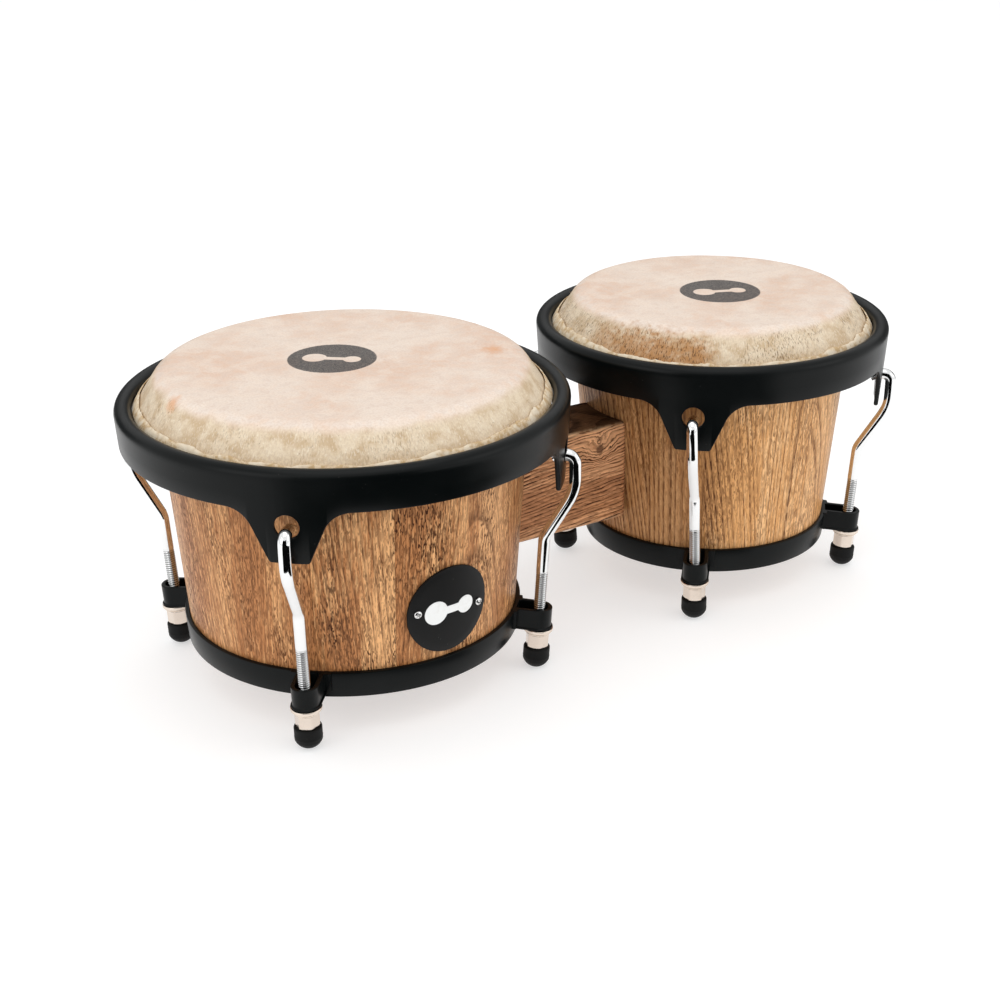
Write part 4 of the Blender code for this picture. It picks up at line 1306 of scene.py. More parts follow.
def make_shell(drum):
    """A tapered tube with a rounded bearing edge, a softened lower edge and a bare inside."""
    soft = 0.6 * MM
    low_in, low_out = drum.shell_inner(SHELL_BOTTOM), drum.shell_outer(SHELL_BOTTOM)
    profile = [(low_in, SHELL_BOTTOM + soft), (low_in + soft, SHELL_BOTTOM)]
    profile += [(low_out - soft, SHELL_BOTTOM), (low_out, SHELL_BOTTOM + soft)]
    middle_z = (SHELL_BOTTOM + SHELL_TOP) / 2
    profile.append((drum.shell_outer(middle_z), middle_z))
    profile += arc((drum.edge_centre(), EDGE_CENTRE_Z), EDGE_ROUND, 0, 90, 12)
    profile.append((drum.shell_inner(SHELL_TOP) + soft, SHELL_TOP - GAP))
    profile.append((drum.shell_inner(SHELL_TOP), SHELL_TOP - GAP - soft))
    mesh = carved(mesh_from(turned_ring(profile), drum.place), shell_cutters(drum))
    for face in mesh.polygons:
        out = Vector((face.center.x - drum.centre_x, face.center.y, 0)).normalized()
        face.material_index = 1 if face.normal.dot(out) < -0.3 else 0
    name = drum.name
    looks = [name + "_wood", name + "_bare"]
    return piece(name + "_wood_shell", mesh, looks, [name + "_shell"], "base")


# ---- skins and flesh hoops ----------------------------------------------------------


def collar_turn(drum):
    """The angle, in degrees, at which the skin leaves the bearing edge for the hoop."""
    reach = drum.hoop_inner - GAP - SKIN - drum.edge_centre()
    drop = EDGE_CENTRE_Z - RIM_SHOULDER
    touch = math.acos((EDGE_ROUND + GAP) / math.hypot(reach, drop))
    return math.degrees(touch - math.atan2(drop, reach))


def between(start, end, steps):
    """Points from start to end, leaving both out."""
    return [
        tuple(a + (b - a) * k / steps for a, b in zip(start, end)) for k in range(1, steps)
    ]


def skin_outline(drum, thickness, flat_steps, slope_steps):
    """(radius, z) along one face of the skin, from near the middle to its lower edge."""
    hem = drum.hoop_inner - GAP - SKIN + thickness
    centre = (drum.edge_centre(), EDGE_CENTRE_Z)
    turn = arc(centre, EDGE_ROUND + GAP + thickness, 90, collar_turn(drum), 8)
    shoulder = (hem, RIM_SHOULDER)
    flat = between((0, turn[0][1]), turn[0], flat_steps)
    slope = between(turn[-1], shoulder, slope_steps)
    return flat + turn + slope + [shoulder, (hem, HEM_BOTTOM)]


def make_skin(drum):
    """The skin, pulled down over the shell, with the dents and creases of real hide."""
    outer = skin_outline(drum, SKIN, 22, 14)
    inner = skin_outline(drum, 0, 4, 3)
    profile = [(0, outer[0][1])] + outer + inner[::-1] + [(0, inner[0][1])]
    bm = turned_solid(profile)
    seed = Vector((drum.head_radius * 100, 3.7, 1.9))
    top_face = len(outer) * ROUND_STEPS
    for index, vert in enumerate(bm.verts):
        if index >= top_face:  # the inside stays smooth, clear of the shell
            continue
        x, y, z = vert.co
        drop = HEAD_TOP - z
        radius = math.hypot(x, y)
        slope = min(1.0, max(0.0, drop / (12 * MM)))
        flat = noise.noise(Vector((x, y, 0)) * 24 + seed) - 0.7
        angle = math.atan2(y, x)
        folds = noise.noise(Vector((math.cos(angle), math.sin(angle), z * 20)) * 9 + seed)
        lumps = noise.noise(vert.co * 130 + seed)
        inward = (0.22 * folds - 0.25 + 0.16 * lumps) * slope * MM
        below_rim = z < RIM_SHOULDER + 1 * MM
        if not below_rim and radius > 0:
            vert.co.x += inward * x / radius
            vert.co.y += inward * y / radius
        vert.co.z += 0.14 * flat * MM * (1 - slope)
    mesh = mesh_from(bm, drum.place)
    name = drum.name
    skin = piece(name + "_skin", mesh, name + "_hide", [name + "_head"], smooth=60)
    return bend_with_rim(skin)


def bend_with_rim(obj):
    """Works the object's place into its mesh; nothing is bent."""
    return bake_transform(obj)


# up the inside of the skin's edge and down its outside: (share of its height, mm outwards)
SKIN_EDGE_SECTION = (
    (0, 0.25),
    (0.35, 0.25),
    (0.7, 0.3),
    (0.93, 0.5),
    (1, 0.75),
    (0.93, 1.15),
    (0.7, 1.3),
    (0.35, 1.2),
    (0, 0.95),
)


def make_skin_edge(drum):
    """The skin's cut edge, turned up round the hoop and standing between collar and rim."""
    columns = []
    for i in range(EDGE_STEPS):
        angle = FULL_TURN * i / EDGE_STEPS
        way = Vector((math.cos(angle), math.sin(angle), 0))
        ragged = noise.noise(way * 7 + Vector((drum.head_radius * 90, 0, 0)))
        nibbled = noise.noise(way * 45)
        # the skin is trimmed closest along the front
        trimmed = 2.6 * max(0.0, way.dot(FRONT)) ** 1.5
        top = RIM_TOP + (1.4 - trimmed + 1.5 * ragged + 0.6 * nibbled) * MM
        wave = 0.25 * noise.noise(way * 25 + Vector((5, 5, 5))) * MM
        columns.append((angle, top, wave))

    def skin_face(z):
        """The radius of the skin's outside at this height, above the rim's shoulder."""
        centre = (drum.edge_centre(), EDGE_CENTRE_Z)
        turn = arc(centre, EDGE_ROUND + GAP + SKIN, 90, collar_turn(drum), 1)[-1]
        share = (turn[1] - z) / (turn[1] - RIM_SHOULDER)
        return turn[0] + share * (drum.hoop_inner - GAP - turn[0])

    low = RIM_SHOULDER + 0.6 * MM
    rings = []
    for share, out in SKIN_EDGE_SECTION:
        ring = []
        for angle, top, wave in columns:
            z = low + (top - low) * share
            inner = min(skin_face(z), drum.hoop_inner - GAP)
            reach = inner + out * MM + (wave if share > 0.5 else 0)
            ring.append(polar(reach, angle, z))
        rings.append(ring)
    mesh = mesh_from(loft(rings), drum.place)
    name = drum.name
    edge = piece(name + "_skin_edge", mesh, "cut_edge", [], smooth=60)
    return bend_with_rim(edge)


def make_stubble(drum, skin):
    """Hair left on the lower part of the collar."""
    mesh = skin.data.copy()
    hairy = mesh.attributes.new("hairy", "FLOAT", "POINT")
    seed = Vector((drum.head_radius * 70, 2.0, 4.0))
    for index, vert in enumerate(mesh.vertices):
        drop = HEAD_TOP - vert.co.z
        radius = math.hypot(vert.co.x - drum.centre_x, vert.co.y)
        outside = radius > drum.edge_centre() + EDGE_ROUND and vert.co.z > RIM_SHOULDER
        patch = noise.noise(vert.co * 28 + seed) + 0.35
        band = min(1.0, max(0.0, (drop - 4 * MM) / (8 * MM)))
        hairy.data[index].value = max(0.0, patch) * band if outside else 0.0
    grown_mesh = grown(
        mesh,
        TREES["stubble"],
        Density=HAIR_DENSITY[drum.name],
        Seed=HAIR_SEED,
        Finish=LOOKS["hair"],
        Lie=HAIR_LIE,
    )
    hair = piece(drum.name + "_hair_stubble", grown_mesh, "hair", [], smooth=80)
    return bend_with_rim(hair)


def make_hoop(drum):
    outline = rounded_box(drum.hoop_inner, drum.hoop_outer, HOOP_BOTTOM, HOOP_TOP, 1.4 * MM)
    mesh = mesh_from(turned_ring(outline), drum.place)
    name = drum.name
    nodes = [name + "_flesh_hoop"]
    return piece(name + "_skin_hoop", mesh, "hoop", nodes, drum.rim_set)


# ---- rims ---------------------------------------------------------------------------


def ear_edge():
    """(distance from the ear's middle, height above its tip) up one side of an ear."""
    tuck = EAR_CORNER * math.tan((QUARTER - EAR_SLANT) / 2)
    slant = math.degrees(EAR_SLANT)
    start = EAR_HALF_WIDTH - tuck
    points = [(0.0, 0.0), (start / 2, 0.0)]
    points += arc((start, EAR_CORNER), EAR_CORNER, -90, -slant, 6)
    run = EAR_FILLET * math.tan((QUARTER - EAR_SLANT) / 2)
    meet = EAR_HALF_WIDTH + EAR_DROP * math.tan(EAR_SLANT)
    fillet = arc((meet + run, EAR_DROP - EAR_FILLET), EAR_FILLET, 180 - slant, 90, 10)
    points += between(points[-1], fillet[0], 8)
    return points + fillet


def ear_height(edge, away):
    """The height above the ear's tip of the rim's lower edge, this far from its middle."""
    for (d0, h0), (d1, h1) in zip(edge, edge[1:]):
        if away <= d1:
            return h0 + (h1 - h0) * max(0.0, away - d0) / max(d1 - d0, 1e-9)
    return EAR_DROP


def rim_columns(drum):
    """(angle, height of the lower edge) round the rim, close together at the ears."""
    edge = ear_edge()
    angles = {round(FULL_TURN * i / ROUND_STEPS, 6) for i in range(ROUND_STEPS)}
    for middle in drum.ear_angles():
        for away, _ in edge:
            for side in (-1, 1):
                angles.add(round((middle + side * away / drum.rim_outer) % FULL_TURN, 6))
    columns = []
    for angle in sorted(angles):
        offs = [(angle - middle + math.pi) % FULL_TURN for middle in drum.ear_angles()]
        away = min(abs(off - math.pi) for off in offs) * drum.rim_outer
        columns.append((angle, EAR_TIP + ear_height(edge, away)))
    return columns


def rim_section(drum, bottom):
    """The rim's cross-section: a leaning wall with its top edge rolled inwards."""
    outer, half, soft = drum.rim_outer, ROLL_WIDTH / 2, RIM_EDGE
    wall = drum.rim_wall
    section = [
        (wall(bottom) - soft, bottom),
        (wall(bottom) - 0.3 * soft, bottom + 0.3 * soft),
        (wall(bottom + soft), bottom + soft),
        (wall((bottom + RIM_SHOULDER) / 2), (bottom + RIM_SHOULDER) / 2),
        (wall(RIM_SHOULDER - 1.5 * MM), RIM_SHOULDER - 1.5 * MM),
    ]
    section += arc((outer - half, RIM_SHOULDER), half, 0, 180, 16)
    lip = ROLL_LIP
    section += [
        (outer - ROLL_WIDTH + 0.2 * MM, lip + 0.3 * MM),
        (outer - ROLL_WIDTH + 0.6 * MM, lip),
        (wall(lip) - RIM_SHEET, lip),
        (wall(bottom + soft) - RIM_SHEET, bottom + soft),
        (wall(bottom) - RIM_SHEET + 0.3 * soft, bottom + 0.3 * soft),
        (wall(bottom) - RIM_SHEET + soft, bottom),
    ]
    return section


def ear_hole(drum, angle):
    """A cutter square to the ear, wider at both faces so that the hole's edges are broken."""
    step = EAR_HOLE_BREAK
    wide = EAR_HOLE_RADIUS + step
    outline = [
        (0, -RUNOFF),
        (wide, -RUNOFF),
        (wide, -RIM_SHEET - 0.02 * MM),
        (EAR_HOLE_RADIUS, -RIM_SHEET + step),
        (EAR_HOLE_RADIUS, -step),
        (wide, 0.02 * MM),
        (wide, RUNOFF),
        (0, RUNOFF),
    ]
    frame_there = (
        drum.place
        @ Matrix.Rotation(angle, 4, "Z")
        @ Matrix.Translation((drum.rim_wall(EAR_HOLE_Z), 0, EAR_HOLE_Z))
        @ Matrix.Rotation(QUARTER + RIM_LEAN, 4, "Y")
        @ Matrix.Rotation(math.pi / FINE_STEPS / 2, 4, "Z")
    )
    return mesh_from(turned_solid(outline, FINE_STEPS), frame_there)


def make_rim(drum):
    columns = rim_columns(drum)
    sections = [rim_section(drum, bottom) for _, bottom in columns]
    rings = []
    for k in range(len(sections[0])):
        ring = []
        for (angle, _), section in zip(columns, sections):
            radius, z = section[k]
            ring.append(polar(radius, angle, z))
        rings.append(ring)
    holes = [ear_hole(drum, angle) for angle in drum.ear_angles()]
    mesh = carved(mesh_from(loft(rings), drum.place), holes)
    name = drum.name
    return piece(
        name + "_steel_rim", mesh, "black_steel", [name + "_rim"], drum.rim_set
    )


# ---- bottom rings and lugs ----------------------------------------------------------


def stadium(radius, end, z, steps, tab=0.0):
    """A loop round the rod: a half circle outside, and two straight legs in to x = -end.

    With a tab, each leg's end turns outwards and lies along the ring for that far.
    """
    half = steps // 2
    points = []
    for i in range(half + 1):
        points.append(polar(radius, -QUARTER + math.pi * i / half, z))
    bend = -end + RING_SHEET / 2 + LUG_TAB_THICK
    corner = -end if tab else bend
    points += [(bend, radius, z), (bend, radius + tab, z), (corner, radius + tab, z)]
    rest = steps - half - 7
    for i in range(1, rest + 1):
        share = i / (rest + 1)
        points.append((-end, (radius + tab) * (1 - 2 * share), z))
    points += [(-end, -radius - tab, z), (bend, -radius - tab, z), (bend, -radius, z)]
    return points


def lug_hole(radius, z, steps):
    """A round loop that starts where the stadium's half circle does."""
    return [polar(radius, -QUARTER + math.pi * i / (steps // 2), z) for i in range(steps)]


def make_lug(end):
    """A strap lug in the rod's frame: a plate with a hole, and a wall round three sides."""
    steps, soft = 36, 0.35 * MM
    plate_top = LUG_BOTTOM + LUG_PLATE
    top = plate_top + LUG_HEIGHT
    lip = LUG_RADIUS + LUG_LIP
    inner, inner_end = LUG_RADIUS - LUG_WALL, end - RING_SHEET / 2
    hole = ROD_RADIUS + LUG_PLAY
    return loft(
        [
            stadium(lip - soft, end, LUG_BOTTOM, steps),
            stadium(lip, end, LUG_BOTTOM + soft, steps),
            stadium(lip, end, plate_top - soft, steps),
            stadium(lip - soft, end, plate_top, steps),
            stadium(LUG_RADIUS, end, plate_top + GAP, steps, LUG_TAB),
            stadium(LUG_RADIUS, end, top - soft, steps, LUG_TAB),
            stadium(LUG_RADIUS - soft, end, top, steps, LUG_TAB),
            stadium(inner + soft, inner_end, top, steps),
            stadium(inner, inner_end, top - soft, steps),
            stadium(inner, inner_end, plate_top, steps),
            lug_hole(hole, plate_top, steps),
            lug_hole(hole, LUG_BOTTOM, steps),
        ]
    )


def make_lug_band(drum):
    top = SHELL_BOTTOM + RING_HEIGHT
    inner_low = drum.shell_outer(SHELL_BOTTOM) + GAP
    inner_high = drum.shell_outer(top) + GAP
    soft = 0.6 * MM
    sheet = RING_SHEET
    profile = [
        (inner_low + soft, SHELL_BOTTOM),
        (inner_low + sheet - soft, SHELL_BOTTOM),
        (inner_low + sheet - 0.3 * soft, SHELL_BOTTOM + 0.3 * soft),
        (inner_low + sheet, SHELL_BOTTOM + soft),
        (inner_high + sheet, top - soft),
        (inner_high + sheet - 0.3 * soft, top - 0.3 * soft),
        (inner_high + sheet - soft, top),
        (inner_high + 0.1 * MM, top),
        (inner_high, top - 0.1 * MM),
        (inner_low, SHELL_BOTTOM + soft),
    ]
    band = mesh_from(turned_ring(profile), drum.place)
    lug_radius = drum.foot_radius + LUG_BOTTOM * math.tan(ROD_LEAN)
    end = lug_radius - inner_low - sheet / 2
    lugs = [mesh_from(make_lug(end), drum.lug_frame(angle)) for angle in drum.lug_angles()]
    mesh = carved(band, lugs, "UNION")
    name = drum.name
    nodes = [name + "_bottom_ring"]
    return piece(name + "_lug_band", mesh, "black_steel", nodes, "base")


# ---- hooks, nuts, washers and feet --------------------------------------------------


def hook_corners(drum):
    ear_back = drum.rim_wall(HOOK_Z) - RIM_SHEET
    upright = drum.rim_outer + HOOK_OUTSIDE
    leg_foot = FOOT_SOLE + GAP
    low = (drum.foot_radius + leg_foot * math.tan(ROD_LEAN), leg_foot)
    return [
        ((ear_back - HOOK_TAIL, HOOK_Z - HOOK_DIP), 0),
        ((ear_back - HOOK_TAIL / 4, HOOK_Z), HOOK_BEND),
        ((upright, HOOK_Z), HOOK_BEND),
        ((upright, HOOK_Z - HOOK_UPRIGHT), JOGGLE_UPPER_BEND),
        ((drum.rod_bend_radius, drum.rod_bend_z), JOGGLE_LOWER_BEND),
        (low, 0),
    ]


def rounded_path(corners, steps):
    """A polyline through (point, bend radius) corners, each bend drawn as an arc."""
    points = [Vector(corners[0][0])]
    for i in range(1, len(corners) - 1):
        before, here, after = (Vector(corners[k][0]) for k in (i - 1, i, i + 1))
        radius = corners[i][1]
        back, on = (before - here).normalized(), (after - here).normalized()
        half = back.angle(on) / 2
        start = here + back * radius / math.tan(half)
        centre = here + (back + on).normalized() * radius / math.sin(half)
        swing = (math.pi - 2 * half) * (1 if back.cross(on) > 0 else -1)
        for k in range(steps + 1):
            points.append(centre + Matrix.Rotation(-swing * k / steps, 2) @ (start - centre))
    points.append(Vector(corners[-1][0]))
    return points


def hook_line(drum):
    """The hook's centre line as a mesh of edges, close together over the thread."""
    points = rounded_path(hook_corners(drum), 10)
    end = points.pop()
    thread_start = points[-1] + (end - points[-1]) * (
        (points[-1].y - THREAD_TOP) / (points[-1].y - end.y)
    )
    plain = sum((b - a).length for a, b in zip(points, points[1:]))
    plain += (thread_start - points[-1]).length
    count = round((end - thread_start).length / (THREAD_PITCH / THREAD_STEPS))
    points += [thread_start] + [
        thread_start + (end - thread_start) * k / count for k in range(1, count + 1)
    ]
    mesh = bpy.data.meshes.new("line")
    mesh.from_pydata(
        [(point.x, 0, point.y) for point in points],
        [(k, k + 1) for k in range(len(points) - 1)],
        [],
    )
    return mesh, plain


def make_hooks(drum):
    line, plain = hook_line(drum)
    rod = grown(
        line,
        TREES["rod"],
        Rod_Radius=ROD_RADIUS,
        Thread_Pitch=THREAD_PITCH,
        Thread_Depth=THREAD_DEPTH,
        Plain_Length=plain,
        Sides=ROD_SIDES,
        Finish=LOOKS["chrome"],
    )
    bm = bmesh.new()
    bm.from_mesh(rod)
    bmesh.ops.recalc_face_normals(bm, faces=bm.faces)
    bm.to_mesh(rod)
    bm.free()
    for number, angle in enumerate(drum.lug_angles(), start=1):
        mesh = rod.copy()
        # a twisted rim takes the top of each hook with it, so that the rod leans sideways
        for vert in mesh.vertices:
            share = max(0.0, (vert.co.z - WASHER_BOTTOM) / (HOOK_Z - WASHER_BOTTOM))
            turn = Matrix.Rotation(RIM_TWIST[drum.name] * share, 3, "Z")
            vert.co = turn @ vert.co
        mesh.transform(drum.place @ Matrix.Rotation(angle, 4, "Z"))
        nodes = [f"{drum.name}_hook_{number}"]
        name = f"{drum.name}_hook_rod_{number}"
        piece(name, mesh, "chrome", nodes, drum.rim_set, smooth=70)


def hexagon(across, corner=1.0):
    """The radius of a hexagon at each angle. corner below 1 rounds its corners off."""

    def reach(angle):
        off = (angle + math.pi / 6) % (math.pi / 3) - math.pi / 6
        sharp = across / 2 / math.cos(math.pi / 6 - abs(off))
        return min(sharp, across / 2 / math.cos(math.pi / 6) * corner)

    return reach


def make_nut_mesh():
    """A hexagon nut with a round flange on top, chamfered below."""
    steps = 96
    bore = ROD_RADIUS + ROD_PLAY
    hexagonal = hexagon(NUT_ACROSS, corner=0.985)
    low, seat = NUT_BOTTOM, NUT_BOTTOM + NUT_HEIGHT
    half = NUT_ACROSS / 2

    def chamfered(angle, limit):
        return min(hexagonal(angle), limit)

    rings = [circle(half - 0.35 * MM, low, steps)]
    for k in range(5):
        limit = half + 0.8 * MM * (k + 0.5) / 4
        rings.append(
            circle(0, low + (0.1 + 0.14 * k) * MM, steps, lambda a, m=limit: chamfered(a, m))
        )
    rings += [
        circle(0, seat - 0.5 * MM, steps, hexagonal),
        circle(0, seat - 0.15 * MM, steps, lambda a: hexagonal(a) + 0.12 * MM),
        circle(FLANGE_RADIUS - 0.25 * MM, seat + 0.1 * MM, steps),
        circle(FLANGE_RADIUS, seat + 0.4 * MM, steps),
        circle(FLANGE_RADIUS, FLANGE_TOP - 0.25 * MM, steps),
        circle(FLANGE_RADIUS - 0.2 * MM, FLANGE_TOP, steps),
        circle(bore + 0.25 * MM, FLANGE_TOP, steps),
        circle(bore, FLANGE_TOP - 0.25 * MM, steps),
        circle(bore, low + 0.3 * MM, steps),
        circle(bore + 0.3 * MM, low, steps),
    ]
    return mesh_from(loft(rings))


def make_washer_mesh(bore, radius, low):
    """A flat washer with rounded edges."""
    outline = rounded_box(bore, radius, low, low + WASHER_THICK, 0.4 * MM)
    return mesh_from(turned_ring(outline, 64))


def make_foot_mesh():
    """A rubber cap on the rod's end: a soft dome, a moulding line and a rolled mouth."""
    bore, edge = ROD_RADIUS + GAP, 0.9 * MM
    widest = math.asin(FOOT_RADIUS / FOOT_DOME)
    profile = [(0, 0)]
    for k in range(1, 13):
        turn = widest * k / 12
        profile.append((FOOT_DOME * math.sin(turn), FOOT_DOME * (1 - math.cos(turn))))
    seam = profile[-1][1] + 1.6 * MM
    profile += [
        (FOOT_RADIUS, seam - 0.25 * MM),
        (FOOT_RADIUS + 0.1 * MM, seam),
        (FOOT_RADIUS, seam + 0.25 * MM),
    ]
    profile += arc((FOOT_RADIUS - edge, FOOT_HEIGHT - edge), edge, 0, 90, 6)
    profile += [
        (bore + 0.5 * MM, FOOT_HEIGHT),
        (bore, FOOT_HEIGHT - 0.5 * MM),
        (bore, FOOT_SOLE),
        (0, FOOT_SOLE),
    ]
    return mesh_from(turned_solid(profile, FINE_STEPS))


# where each nut was left by the wrench, in degrees
NUT_TURNS = {"large": (10, 25, 35, 48), "small": (20, 5, 40, 15)}


def make_hardware(drum):
    """Nuts, washers and rubber feet on the four rods."""
    nut, foot = make_nut_mesh(), make_foot_mesh()
    washer = make_washer_mesh(ROD_RADIUS + ROD_PLAY, WASHER_RADIUS, WASHER_BOTTOM)
    kinds = (
        ("lug_nut", "nut", nut, "nickel", "nickel_steel", "{0}_nut_{1}_body"),
        ("lug_washer", "washer", washer, "nickel", "nickel_steel", "base"),
        ("rubber_tip", "foot", foot, "rubber", "rubber", "{0}_rim_set"),
    )
    for number, angle in enumerate(drum.lug_angles(), start=1):
        for kind, node, source, look, slot, body in kinds:
            mesh = source.copy()
            spin = Matrix.Rotation(math.radians(NUT_TURNS[drum.name][number - 1]), 4, "Z")
            mesh.transform(drum.lug_frame(angle) @ spin)
            nodes = [f"{drum.name}_{node}_{number}"]
            rides = body.format(drum.name, number)
            piece(f"{drum.name}_{kind}_{number}", mesh, look, nodes, rides, smooth=25)


# ---- centre block and its bolts -----------------------------------------------------


def shell_blank(drum):
    low, high = SHELL_BOTTOM - RUNOFF, SHELL_TOP + RUNOFF
    outline = [
        (0, low),
        (drum.shell_outer(low) + GAP, low),
        (drum.shell_outer(high) + GAP, high),
        (0, high),
    ]
    return mesh_from(turned_solid(outline), drum.place)


def block_end(drum, side):
    """The X where the block's front face would meet the shell, halfway up."""
    radius = drum.shell_outer((BLOCK_LOW.z + BLOCK_HIGH.z) / 2)
    half = (BLOCK_HIGH.y - BLOCK_LOW.y) / 2
    return drum.centre_x + side * math.sqrt(radius**2 - half**2)


def block_outline(inset):
    left, right = block_end(LARGE, 1) - GAP, block_end(SMALL, -1) + GAP
    half = (BLOCK_HIGH.y - BLOCK_LOW.y) / 2
    points = []
    for k, (x, side) in enumerate([(right, 1), (left, 1), (left, -1), (right, -1)]):
        inward = -1 if x == right else 1
        middle = (x + inward * BLOCK_CORNER, side * (half - BLOCK_CORNER))
        points += arc(middle, BLOCK_CORNER - inset, 90 * k, 90 * k + 90, 10)
    return points


def make_block():
    """A solid block with rounded edges, both ends hollowed to fit the shells."""
    low, high = BLOCK_LOW.z, BLOCK_HIGH.z
    levels = []
    for k in range(7):
        turn = QUARTER * k / 6
        height, inset = BLOCK_EDGE * (1 - math.cos(turn)), BLOCK_EDGE * (1 - math.sin(turn))
        levels.append((low + height, inset))
    levels += [(low + high - z, inset) for z, inset in reversed(levels)]
    rings = [[(x, y, z) for x, y in block_outline(inset)] for z, inset in levels]
    tools = [shell_blank(drum) for drum in DRUMS]
    tools += [
        cutter(BOLT_RADIUS + GAP, DRUM_SPACING, bolt_frame(LARGE.centre_x, z), 24)
        for z in bolt_heights()
    ]
    mesh = carved(mesh_from(capped(rings)), tools)
    edge = mesh.attributes.new("edge", "FLOAT", "POINT")
    half = (BLOCK_HIGH.y - BLOCK_LOW.y) / 2
    for index, vert in enumerate(mesh.vertices):
        near = min(vert.co.z - low, high - vert.co.z, BLOCK_EDGE) / BLOCK_EDGE
        side = min(half - abs(vert.co.y), BLOCK_EDGE) / BLOCK_EDGE
        edge.data[index].value = max(0.0, 1 - near - side) if near < 1 and side < 1 else 0.0
    return piece("wooden_block", mesh, "block_wood", ["centre_block"], "base")


def make_bolts():
    """Two hexagon bolts through both shells and the block, with washers and nuts."""
    steps = 72
    shape = hexagon(BOLT_HEAD_ACROSS, corner=0.985)
    small = hexagon(BOLT_HEAD_ACROSS - 0.8 * MM, corner=0.97)
    bore = BOLT_RADIUS + GAP
    washer = make_washer_mesh(bore, BOLT_WASHER_RADIUS, 0)
    for number, z in enumerate(bolt_heights(), start=1):
        seat = -(WASHER_THICK + 2 * GAP)
        reach = seat_x(SMALL, z) - seat_x(LARGE, z)
        end = reach + WASHER_THICK + 3 * GAP + BOLT_HEAD_HEIGHT + BOLT_RADIUS / 2
        rings = [
            circle(0, seat - BOLT_HEAD_HEIGHT, steps, small),
            circle(0, seat - BOLT_HEAD_HEIGHT + 0.4 * MM, steps, shape),
            circle(0, seat, steps, shape),
            circle(BOLT_RADIUS, seat, steps),
            circle(BOLT_RADIUS, end - 0.6 * MM, steps),
            circle(BOLT_RADIUS - 0.6 * MM, end, steps),
        ]
        mesh = mesh_from(capped(rings), bolt_frame(seat_x(LARGE, z), z))
        nodes = [f"block_bolt_{number}"]
        piece(f"through_bolt_{number}", mesh, "zinc", nodes, "base")
        rings = [
            circle(0, 0, steps, small),
            circle(0, 0.4 * MM, steps, shape),
            circle(0, BOLT_HEAD_HEIGHT - 0.4 * MM, steps, shape),
            circle(0, BOLT_HEAD_HEIGHT, steps, small),
            circle(bore, BOLT_HEAD_HEIGHT, steps),
            circle(bore, 0, steps),
        ]
        low = seat_x(SMALL, z) + WASHER_THICK + 2 * GAP
        mesh = mesh_from(loft(rings), bolt_frame(low, z))
        nodes = [f"block_nut_{number}"]
        piece(f"through_bolt_nut_{number}", mesh, "zinc", nodes, "base")
        places = (seat_x(LARGE, z) - GAP - WASHER_THICK, seat_x(SMALL, z) + GAP)
        for k, x in enumerate(places):
            mesh = washer.copy()
            mesh.transform(bolt_frame(x, z))
            count = 2 * number - 1 + k
            nodes = [f"block_washer_{count}"]
            piece(f"through_bolt_washer_{count}", mesh, "zinc", nodes, "base")


# ---- badge --------------------------------------------------------------------------


def on_shell(drum, along, up, out):
    """A point along and up the shell from the badge's centre, and out from the wood."""
    z = BADGE_CENTRE_Z + up * math.cos(drum.taper) + out * -math.sin(drum.taper)
    radius = drum.shell_outer(z) + out / math.cos(drum.taper)
    x, y, z = polar(radius, BADGE_ANGLE + along / drum.shell_outer(BADGE_CENTRE_Z), z)
    return (drum.centre_x + x, y, z)


def screw_frame(drum, side):
    along = side * SCREW_SPREAD * math.cos(SCREW_TURN)
    up = -side * SCREW_SPREAD * math.sin(SCREW_TURN)
    foot = Vector(on_shell(drum, along, up, 0))
    out = (Vector(on_shell(drum, along, up, RUNOFF)) - foot).normalized()
    return Matrix.Translation(foot) @ out.to_track_quat("Z", "Y").to_matrix().to_4x4()


def screw_hole(drum, side):
    start = screw_frame(drum, side) @ Matrix.Translation((0, 0, -SCREW_LENGTH - GAP))
    return cutter(SCREW_SHANK_RADIUS + GAP, SCREW_LENGTH + RUNOFF, start, 24)


def make_badge(drum):
    """A thin round plate with a softened edge, curved to lie on the shell."""
    steps = 96
    back, front, soft = 2 * GAP, 2 * GAP + BADGE_THICK, 0.35 * MM
    rows = [(share, front) for share in (0.2, 0.4, 0.6, 0.8)]
    rows.append((1 - soft / BADGE_RADIUS, front))
    rows.append((1 - 0.3 * soft / BADGE_RADIUS, front - 0.3 * soft))
    rows += [(1, front - soft), (1, back)]
    rows += [(share, back) for share in (0.75, 0.5, 0.25)]
    rings = []
    for share, out in rows:
        ring = circle(BADGE_RADIUS * share, 0, steps)
        rings.append([on_shell(drum, x, y, out) for x, y, _ in ring])
    bm = loft(rings, closed=False)
    last = len(bm.verts) - steps
    fan(bm, 0, steps, on_shell(drum, 0, 0, front))
    fan(bm, last, steps, on_shell(drum, 0, 0, back))
    holes = [screw_hole(drum, side) for side in (-1, 1)]
    mesh = carved(mesh_from(bm), holes)
    return piece("round_badge", mesh, "plate", ["badge"], "base")


def sign_outline(large, small, half_bar):
    """Two round spots joined by a bar, as one outline. Each spot is (centre along, radius)."""
    points = []
    for (centre, radius), middle in ((large, math.pi), (small, 0.0)):
        open_half = math.asin(half_bar / radius)
        swing = math.pi - open_half
        for k in range(33):
            angle = middle - swing + 2 * swing * k / 32
            x, y, _ = polar(radius, angle, 0)
            points.append((centre + x, y))
    return points


